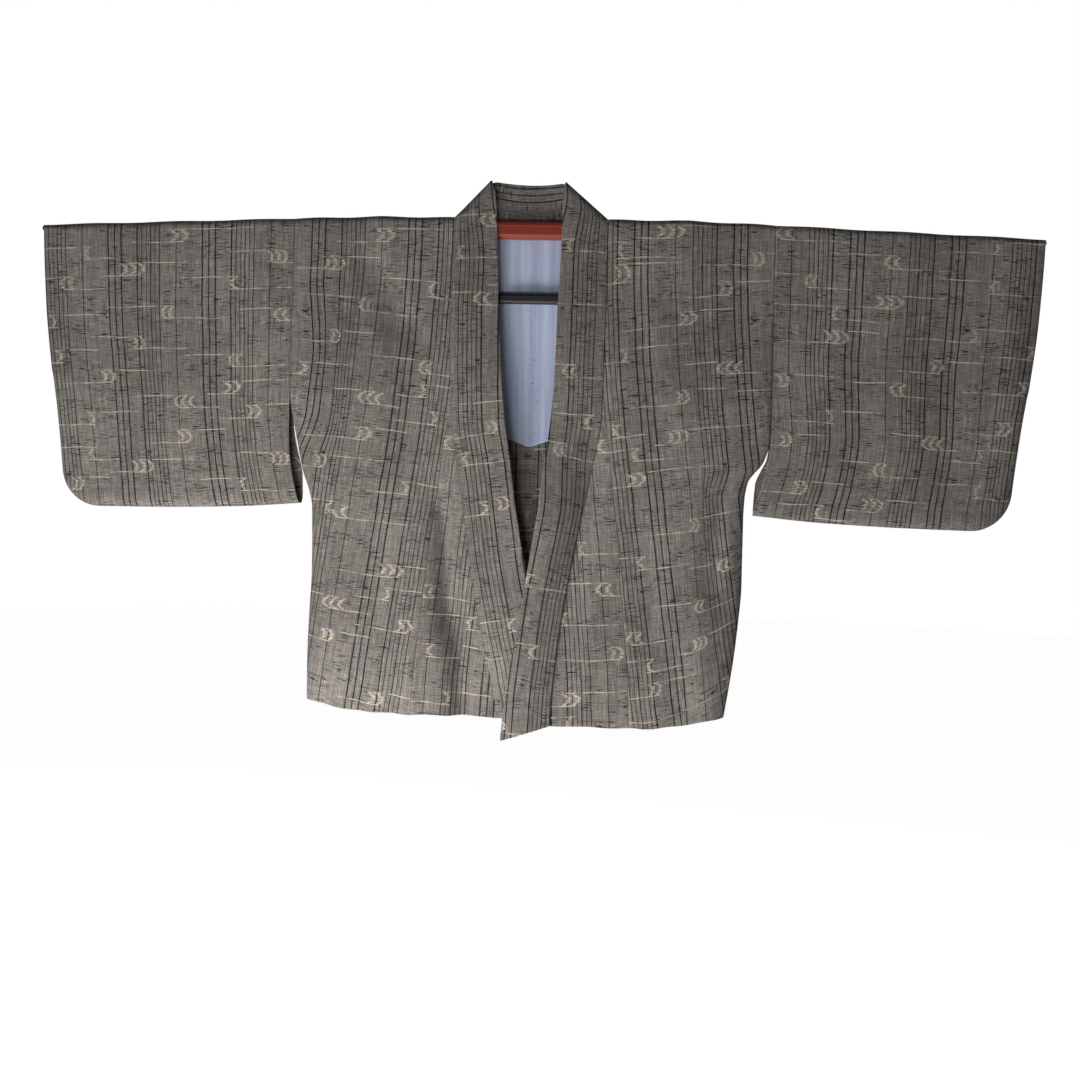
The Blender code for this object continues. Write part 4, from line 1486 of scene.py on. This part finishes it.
@dataclass
class Collar:
    """The long band, folded double at its free edge, from hem to hem round the neck."""

    band_half: float = 0.0009
    wall: float = 0.0007
    gap: float = 0.00015
    proud: float = 0.0008
    front_top: float = -0.004
    turn_level: float = -0.050
    turn_lift: float = 0.040
    back_top: float = 0.058
    back_lean: float = 0.011
    crease_half: float = 0.005
    ridge_inset: float = 0.0011
    tip_drop: float = 0.019
    tip_start: float = -0.400
    columns: int = 22
    step: float = 0.0032
    ridge_steps: int = 9
    neck_steps: int = 12
    fold_turns: tuple[float, ...] = (60.0, 90.0, 120.0)
    fold_run: float = 0.0028  # length of cloth round the free edge
    back_stripe_start: float = 0.0236  # place of the folded edge behind the neck
    left_raise: float = 0.0098  # how far the free edge stands out on the wearer's left
    right_raise: float = 0.0015
    cut: SheetCut = field(default_factory=lambda: SheetCut(0.128, 1.500, 0.184))

    def _span(self, seam: tuple[float, ...], edge: tuple[float, ...], shares: Array) -> tuple[Array, float]:
        """Lay a straight row of points.

        Args:
            seam: Where it starts, at the seam.
            edge: Where it ends, at the band's free edge.
            shares: Shares of the way between them.

        Returns:
            The points and the row's length.
        """
        outer, inner = np.array(seam), np.array(edge)
        return mix(outer[None, :], inner[None, :], shares[:, None]), float(np.linalg.norm(inner - outer))

    def _front_row(self, side: SideShape, level: float, shares: Array) -> BandRow:
        """Lay a row of the band's middle surface on the front.

        Args:
            side: Which side.
            level: Its level at the seam.
            shares: Shares from the seam to the free edge.

        Returns:
            The row.
        """
        seam = float(side.collar_seam(level)) - self.gap
        turn = float(smooth((level - self.turn_level) / (FORM.ridge_z - self.turn_level)))
        tip = self.tip_drop * float(smooth((self.tip_start - level) / (self.tip_start - side.hem)))
        edge_z = level + self.turn_lift * turn - (tip if side.sign > 0 else 0.0)
        edge = float(side.collar_edge(edge_z))
        seam_y, edge_y = [
            float(FORM.body_y(side, np.array(side.sign * x), level, front=True)) for x in (seam, edge)]
        edge_y = mix(edge_y, -self.crease_half, turn**3)
        points, _ = self._span((side.sign * seam, seam_y, level), (side.sign * edge, edge_y, edge_z), shares)
        belly = 0.0008 * (1.0 - turn) + 0.0006 * math.sin(level * 31.0 + side.sign)
        raised = self.left_raise if side.sign > 0 else self.right_raise
        raised = raised * float(smooth((-0.12 - level) / 0.26))
        points[:, 1] -= belly * 4.0 * shares * (1.0 - shares) + raised * (1.0 - (1.0 - shares) ** 2)
        points[:, 1] -= self.proud * (1.0 - turn)
        slide = 0.012 * float(smooth((-0.27 - level) / 0.10)) if side.sign > 0 else 0.0
        return points, side.collar_stripe_start - slide

    def _ridge_row(self, side: SideShape, angle: float, shares: Array) -> BandRow:
        """Lay a row of the band over the shoulder.

        Args:
            side: Which side.
            angle: Degrees from the shoulder's top, negative on the front.
            shares: Shares from the seam to the free edge.

        Returns:
            The row.
        """
        turn = math.radians(angle)
        up, back = math.cos(turn), math.sin(turn)
        height = FORM.ridge_z + FORM.ridge_radius * up
        seam = (side.seam_x if angle < 0 else FORM.neck_x(side, height)) - self.gap - self.ridge_inset * up
        start_z = FORM.ridge_z + self.turn_lift if angle < 0 else side.crease_z - 0.002
        edge_z = mix(start_z, side.crease_z, up)
        edge = float(side.collar_edge(edge_z)) if angle < 0 else side.crease_x
        points, length = self._span((side.sign * seam, FORM.ridge_radius * back, height),
                                    (side.sign * edge, self.crease_half * back, edge_z), shares)
        return points, mix(side.collar_stripe_start, length + self.back_stripe_start, (angle + 90.0) / 180.0)

    def _back_row(self, side: SideShape, seam: float, level: float, shares: Array) -> BandRow:
        """Lay a row of the band that stands behind the neck.

        Args:
            side: Which side.
            seam: The neck seam's distance from the centre line.
            level: The neck seam's height.
            shares: Shares from the seam to the free edge.

        Returns:
            The row.
        """
        share = seam / side.seam_x
        seam_y = float(FORM.body_y(side, np.array(side.sign * seam), level, front=False))
        points, length = self._span(
            (side.sign * max(0.0, seam - self.gap), seam_y, level + self.gap),
            (side.sign * side.crease_x * share, mix(self.back_lean, self.crease_half, share**2),
             mix(self.back_top, side.crease_z, share**2)), shares)
        return points, length + self.back_stripe_start

    def _half(self, side: SideShape, shares: Array) -> list[BandRow]:
        """Lay the rows of one half.

        Args:
            side: Which side.
            shares: Shares from the seam to the free edge.

        Returns:
            The rows from its hem to the middle of the neck.
        """
        levels = hanging_levels(side.hem, self.front_top, round((self.front_top - side.hem) / self.step))
        angles = np.linspace(-90.0, 90.0, self.ridge_steps)
        rows = [self._front_row(side, float(level), shares) for level in levels]
        rows += [self._ridge_row(side, float(angle), shares) for angle in angles]
        neck = FORM.neck_points(side, self.neck_steps)
        return rows + [self._back_row(side, *place, shares) for place in neck]

    def build(self) -> bpy.types.Object:
        """Build the piece.

        Returns:
            The new object.
        """
        shares = graded_shares(0.064, self.columns, (0.0004, 0.0012))
        joined = self._half(RIGHT, shares) + self._half(LEFT, shares)[-2::-1]
        middle = np.stack([row[0] for row in joined])
        starts = np.array([[row[1]] for row in joined])
        normal = unit(np.cross(np.gradient(middle, axis=1), np.gradient(middle, axis=0)))
        normal = normal * (1.0 if normal[: len(normal) // 4, :, 1].mean() < 0.0 else -1.0)
        lengths = np.linalg.norm(np.diff(middle, axis=1), axis=2)
        width = np.pad(np.cumsum(lengths, axis=1), ((0, 0), (1, 0)))
        full = width[:, -1:]
        centre = middle[:, len(shares) // 2]
        run = np.pad(np.cumsum(np.linalg.norm(np.diff(centre, axis=0), axis=1)), (1, 0))[:, None]
        edge, towards = middle[:, -1], unit(middle[:, -1] - middle[:, -2])
        shear = np.sum(unit(np.gradient(centre, axis=0)) * towards, axis=1)[:, None]
        turns = [math.radians(angle) for angle in self.fold_turns]
        fold = [edge + self.band_half * (normal[:, -1] * math.cos(turn) + towards * math.sin(turn))
                for turn in turns]
        points = np.concatenate((middle + normal * self.band_half, np.stack(fold, axis=1),
                                 (middle - normal * self.band_half)[:, ::-1]), axis=1)
        around = np.concatenate((width, full + self.band_half * np.array(turns),
                                 (2 * full - width + self.fold_run)[:, ::-1]), axis=1)
        flat = np.concatenate((width, *[full] * len(turns), width[:, ::-1]), axis=1)
        along = run - run[len(run) // 2] + shear * (flat - 0.5 * full)
        motifs = self._motifs(middle, np.stack((starts - width, along[:, : len(shares)]), axis=-1))
        cloth = np.stack((starts - around, along), axis=-1)
        return make_sheet("cloth_collar", points, cloth, self.wall, motifs)

    def _motifs(self, middle: Array, cloth: Array) -> list[Motif]:
        """List the woven figures of the band.

        Args:
            middle: The band's middle surface.
            cloth: Its points' places on the cloth.

        Returns:
            The charted figures of the front, and scattered ones elsewhere.
        """
        motifs = []
        flat, places = middle.reshape(-1, 3), cloth.reshape(-1, 2)
        for side in SIDES:
            own = np.flatnonzero((np.arange(len(flat)) < len(flat) / 2) == (side.sign < 0))
            for x, level, count in FIGURES["collar_" + side.name]:
                away = np.hypot(flat[own, 0] - x * MM, flat[own, 2] - level * MM)
                motif = set_figure(x, level, count, side, *places[own[int(np.argmin(away))]])
                motifs.append(replace(motif, threads=Threads(-side.sign)))
        low = min(motif.across for motif in motifs)
        hidden = SCATTER.fill((-0.08, -0.85), (low - 0.01, 0.85), 41)
        return motifs + [motif for motif in hidden if motif.across < -0.005]


@dataclass
class BackLining:
    """The pale lining of the upper back, from the neck to its free lower edge."""

    edge_level: float = -0.268
    top_level: float = -0.0095
    side_inset: float = 0.0009
    dip: float = 0.010
    dip_half: float = 0.027
    dip_x: float = 0.001
    dip_fade: float = 0.025
    billow: float = 0.0016
    column_limit: float = 0.96
    offset_top: float = 0.0012
    offset_low: float = 0.0030
    wall: float = 0.0007
    columns: int = 84
    rows: int = 84
    cut: SheetCut = field(default_factory=lambda: SheetCut(0.590, 0.260, 0.147))

    def edge_z(self, x: Array) -> Array:
        """Return the level of the lower edge at a place across."""
        return FORM.hung_z(x, self.edge_level) - self._dip(x)

    def _dip(self, x: Array) -> Array:
        """Return how far the lower edge points down beside the middle."""
        return self.dip * np.maximum(0.0, 1.0 - np.hypot(x - self.dip_x, 0.002) / self.dip_half)

    def surface_y(self, side: SideShape, x: Array, level: float) -> Array:
        """Return the lining's middle surface, in front of the back panel."""
        offset = mix(self.offset_top, self.offset_low, smooth((FORM.ridge_z - level) / 0.1))
        billow = self.billow * smooth(1.0 - np.abs(np.abs(x) - 0.028) / 0.030)
        billow = billow * smooth((-0.03 - level) / 0.06)
        return FORM.body_y(side, x, level, front=False) - offset - billow

    def build(self) -> bpy.types.Object:
        """Build the piece.

        Returns:
            The new object.
        """
        rows, shares = SheetRows(), np.linspace(0.0, self.column_limit, self.columns)
        for level in np.linspace(self.top_level, self.edge_level, self.rows):
            near_edge = smooth((self.edge_level + self.dip_fade - level) / self.dip_fade)
            seam, halves = FORM.back_seam_x(level), []
            for side in SIDES:
                x = mix(seam, side.sign * (float(side.edge(level)) - self.side_inset), shares)
                z = FORM.hung_z(x, level) - near_edge * self._dip(x)
                halves.append(np.stack((x, self.surface_y(side, x, level), z)))
            x, y, z = np.concatenate((halves[0][:, ::-1], halves[1][:, 1:]), axis=1)
            rows.add(x, y, z, x - seam, -level)
        return make_sheet("lining_back", rows.points, rows.cloth, self.wall, [], weld=True)


# ---------------------------------------------------------------- stitches


@dataclass
class StitchRun:
    """A run of hand stitches along a path, made with Geometry Nodes."""

    name: str
    path: list[tuple[float, float, float]]
    pitch: float = 0.0046
    length: float = 0.0017
    thickness: float = 0.0006

    def _tree(self) -> Tree:
        """Build the tree that sets a stitch at each pitch of the path.

        Returns:
            The node group.
        """
        ports = {"Path": "Geometry", "Pitch": "Float", "Length": "Float", "Thickness": "Float",
                 "Thread": "Material"}
        draft = GroupDraft("Stitch run", ports, {"Stitches": "Geometry"}, "GeometryNodeTree")
        path, pitch, length, thickness, thread = draft.start
        spaced = {"Curve": path, "Length": pitch}
        points = draft.add("GeometryNodeCurveToPoints", spaced, mode="LENGTH").outputs
        bead = draft.add("GeometryNodeMeshUVSphere", {"Segments": 8, "Rings": 5, "Radius": 0.5})
        size = draft.vector(thickness, thickness, length)
        shape = draft.add("GeometryNodeTransform", {"Geometry": bead.outputs["Mesh"], "Scale": size})
        spread = draft.add("FunctionNodeRandomValue", {2: 0.75, 3: 1.2, "Seed": 5}, data_type="FLOAT")
        place = draft.add("GeometryNodeInstanceOnPoints", {
            "Points": points["Points"], "Instance": shape.outputs["Geometry"],
            "Rotation": points["Rotation"], "Scale": spread.outputs[1]})
        real = draft.add("GeometryNodeRealizeInstances", {0: place.outputs[0]})
        finish = draft.add("GeometryNodeSetMaterial", {"Geometry": real.outputs[0], "Material": thread})
        return draft.finish(finish.outputs[0])

    def build(self, thread: bpy.types.Material) -> None:
        """Build the stitches as one plain mesh.

        Args:
            thread: The thread's finish.
        """
        curve = bpy.data.curves.new(self.name + "_path", "CURVE")
        curve.dimensions = "3D"
        spline = curve.splines.new("POLY")
        spline.points.add(len(self.path) - 1)
        for point, place in zip(spline.points, self.path):
            point.co = (*place, 1.0)
        guide = add_object(self.name + "_path", curve)
        modifier = guide.modifiers.new("stitches", "NODES")
        modifier.node_group = self._tree()
        values = {"Pitch": self.pitch, "Length": self.length, "Thickness": self.thickness, "Thread": thread}
        for item in modifier.node_group.interface.items_tree:
            if item.in_out == "INPUT" and item.name in values:
                modifier[item.identifier] = values[item.name]
        evaluated = guide.evaluated_get(bpy.context.evaluated_depsgraph_get())
        mesh = bpy.data.meshes.new_from_object(evaluated)
        bpy.data.objects.remove(guide)
        mesh.name = self.name
        stitches = add_object(self.name, mesh)
        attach(stitches, "root")
        LOG.info("%s: %d faces", self.name, len(mesh.polygons))


@dataclass
class InsideStitches:
    """The stitches that show inside the back."""

    lining: BackLining
    seam_away: float = 0.0042
    seam_low: float = -0.606
    edge_half: float = 0.255

    def centre_back(self) -> StitchRun:
        """Lay the run beside the centre-back seam.

        Returns:
            The run, from the lining down to the hem.
        """
        path = []
        for level in np.linspace(self.lining.edge_level - 0.012, self.seam_low, 60):
            x = FORM.back_seam_x(level) - self.seam_away
            y = float(FORM.body_y(RIGHT, np.array(x), level, front=False)) - 0.0007
            path.append((x, y, float(level)))
        return StitchRun("stitches_centre_back", path)

    def lining_edge(self) -> StitchRun:
        """Lay the run along the lining's lower edge.

        Returns:
            The run, from side to side.
        """
        level, path = self.lining.edge_level, []
        for x in np.linspace(-self.edge_half, self.edge_half, 110):
            side = RIGHT if x < FORM.back_seam_x(level) else LEFT
            y = float(self.lining.surface_y(side, np.array(x), level)) - 0.0005
            path.append((float(x), y, float(self.lining.edge_z(np.array(x))) + 0.005))
        return StitchRun("stitches_lining_edge", path, pitch=0.0115, length=0.0013, thickness=0.0005)


# ---------------------------------------------------------------- assemblies


@dataclass
class Jacket:
    """The sewn cloth of the jacket."""

    library: ShaderLibrary

    def build(self) -> None:
        """Build every cloth piece and dress it."""
        cloth = StripedCloth().make(self.library)
        for side in SIDES:
            for part, node in ((BodyLength, "body_"), (OkumiPanel, "okumi_"), (Sleeve, "sleeve_")):
                self._sew(part(side), cloth, node + side.name, ["hanger_bar"])
        bodies, lining = ["cloth_body_right", "cloth_body_left"], BackLining()
        self._sew(Collar(), cloth, "collar", bodies)
        self._sew(lining, LiningCloth().make(self.library), "back_lining", bodies)
        thread, inside = SewingThread().make(), InsideStitches(lining)
        inside.centre_back().build(thread)
        inside.lining_edge().build(thread)

    def _sew(self, part: StripedPiece | Collar | BackLining, finish: bpy.types.Material, node: str,
             rests_on: list[str]) -> None:
        """Build a piece, and give it its finish and its place in the frame.

        Args:
            part: What to build.
            finish: Its finish.
            node: The solid that it stands for.
            rests_on: What it hangs on; not used.
        """
        piece = part.build()
        piece.data.materials.append(finish)
        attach(piece, "root")
        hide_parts(node)
        LOG.info("%s: %d faces before its wall", piece.name, len(piece.data.polygons))
        part.cut.declare(piece, rests_on)


@dataclass
class Hanger:
    """The two-bar hanger, whose solids keep their shape."""

    def dress(self) -> None:
        """Give each bar and link its lacquer."""
        # The second colour of each lacquer gives its brushed wear and its painted highlight lines
        red = self._lacquer("hanger_bar", "red_lacquer_finish", (0.262, 0.024, 0.009),
                            (0.47, 0.10, 0.055), 0.46)
        black = self._lacquer("hanger_lower_bar", "black_lacquer_finish", (0.008, 0.008, 0.010),
                              (0.055, 0.055, 0.062), 0.38)
        for name, finish in (("hanger_bar", red), ("hanger_lower_bar", black),
                             ("hanger_link_right", black), ("hanger_link_left", black)):
            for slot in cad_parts[name].material_slots:
                slot.material = finish
            LOG.info("%s: lacquered", name)

    def _lacquer(self, node: str, name: str, colour: Rgb, worn_and_highlight: Rgb, roughness: float) -> bpy.types.Material:
        """Make a bar's lacquer, measured on its node."""
        low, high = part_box(node)
        height = high[2] - low[2] - float(FORM.arm_drop(np.array(max(abs(low[0]), abs(high[0])))))
        return Lacquer(name, colour, worn_and_highlight, roughness, high[2] - height / 2, height).make()


@dataclass
class Studio:
    """Pale floor, soft light and the camera."""

    target: Rgb = (0.0168, 0.0, -0.2938)
    distance: float = 1.92
    turn: float = 4.2  # degrees round the jacket, towards the wearer's left
    roll: float = 1.5  # degrees
    lens: float = 50.0
    shift_y: float = -80.0 / 1080.0
    floor_drop: float = 0.75
    white: Rgb = (1.0, 1.0, 1.0)

    def build(self) -> None:
        """Build the whole studio."""
        self._floor()
        self._light()
        self._camera()
        bpy.context.scene.view_settings.view_transform = "Standard"

    def _floor(self) -> None:
        """Lay a round pale floor well below the hem."""
        mesh = bpy.data.meshes.new("floor")
        shape = bmesh.new()
        bmesh.ops.create_circle(shape, cap_ends=True, segments=96, radius=9.0)
        bmesh.ops.translate(shape, verts=shape.verts, vec=(0.0, 0.0, CAD_BOX[0][2] - self.floor_drop))
        shape.to_mesh(mesh)
        shape.free()
        draft = Finish("pale_floor")
        x, y, _ = draft.place()
        mesh.materials.append(draft.paint({
            "Base Color": draft.blend(draft.noise(x, y, 2.0), (0.97, 0.97, 0.97), self.white),
            "Roughness": 0.9, "Emission Color": self.white,
            "Emission Strength": draft.signal("ShaderNodeLightPath", output="Is Camera Ray") * 0.85 + 0.05,
        }))
        add_object("floor", mesh)

    def _light(self) -> None:
        """Set a pale surround and three soft lights."""
        world = bpy.data.worlds.new("studio")
        world.use_nodes = True
        bpy.context.scene.world = world
        draft = NodeDraft(world.node_tree)
        surround = world.node_tree.nodes["Background"]
        draft.feed(surround.inputs["Color"], self.white)
        seen = draft.signal("ShaderNodeLightPath", output="Is Camera Ray")
        draft.feed(surround.inputs["Strength"], seen * 0.92 + 0.08)
        self._area("key", (-0.45, -0.62, -1.08), 0.6, 12.2)
        self._area("front", (-0.25, -2.05, -0.80), 0.5, 9.6)
        self._area("back", (0.6, 2.4, 0.4), 1.8, 22.0)

    def _area(self, name: str, place: Rgb, size: float, power: float) -> None:
        """Hang a square soft light that looks at the jacket.

        Args:
            name: The light's name.
            place: Where it hangs.
            size: Its width.
            power: Its power in watts.
        """
        light = bpy.data.lights.new(name, "AREA")
        light.size, light.energy = size, power
        lamp = add_object(name, light)
        lamp.location = place
        lamp.visible_camera = False
        lamp.rotation_euler = (Vector(self.target) - Vector(place)).to_track_quat("-Z", "Y").to_euler()

    def _camera(self) -> None:
        """Place the camera level with the jacket's middle, rolled a little."""
        turn, roll = math.radians(self.turn), math.radians(self.roll)
        away = Vector((math.sin(turn), -math.cos(turn), 0.0))
        right = Vector((math.cos(turn), math.sin(turn), 0.0))
        up = Vector((0.0, 0.0, 1.0))
        rolled_right = right * math.cos(roll) + up * math.sin(roll)
        rolled_up = up * math.cos(roll) - right * math.sin(roll)
        data = bpy.data.cameras.new("camera")
        data.lens, data.shift_y = self.lens, self.shift_y
        camera = add_object("camera", data)
        basis = Matrix((rolled_right, rolled_up, away)).transposed().to_4x4()
        camera.matrix_world = Matrix.Translation(Vector(self.target) + away * self.distance) @ basis
        bpy.context.scene.camera = camera


def main() -> None:
    """Build the jacket, its hanger and the studio."""
    Studio().build()
    library = ShaderLibrary()
    Jacket(library).build()
    Hanger().dress()


if __name__ == "__main__":
    main()
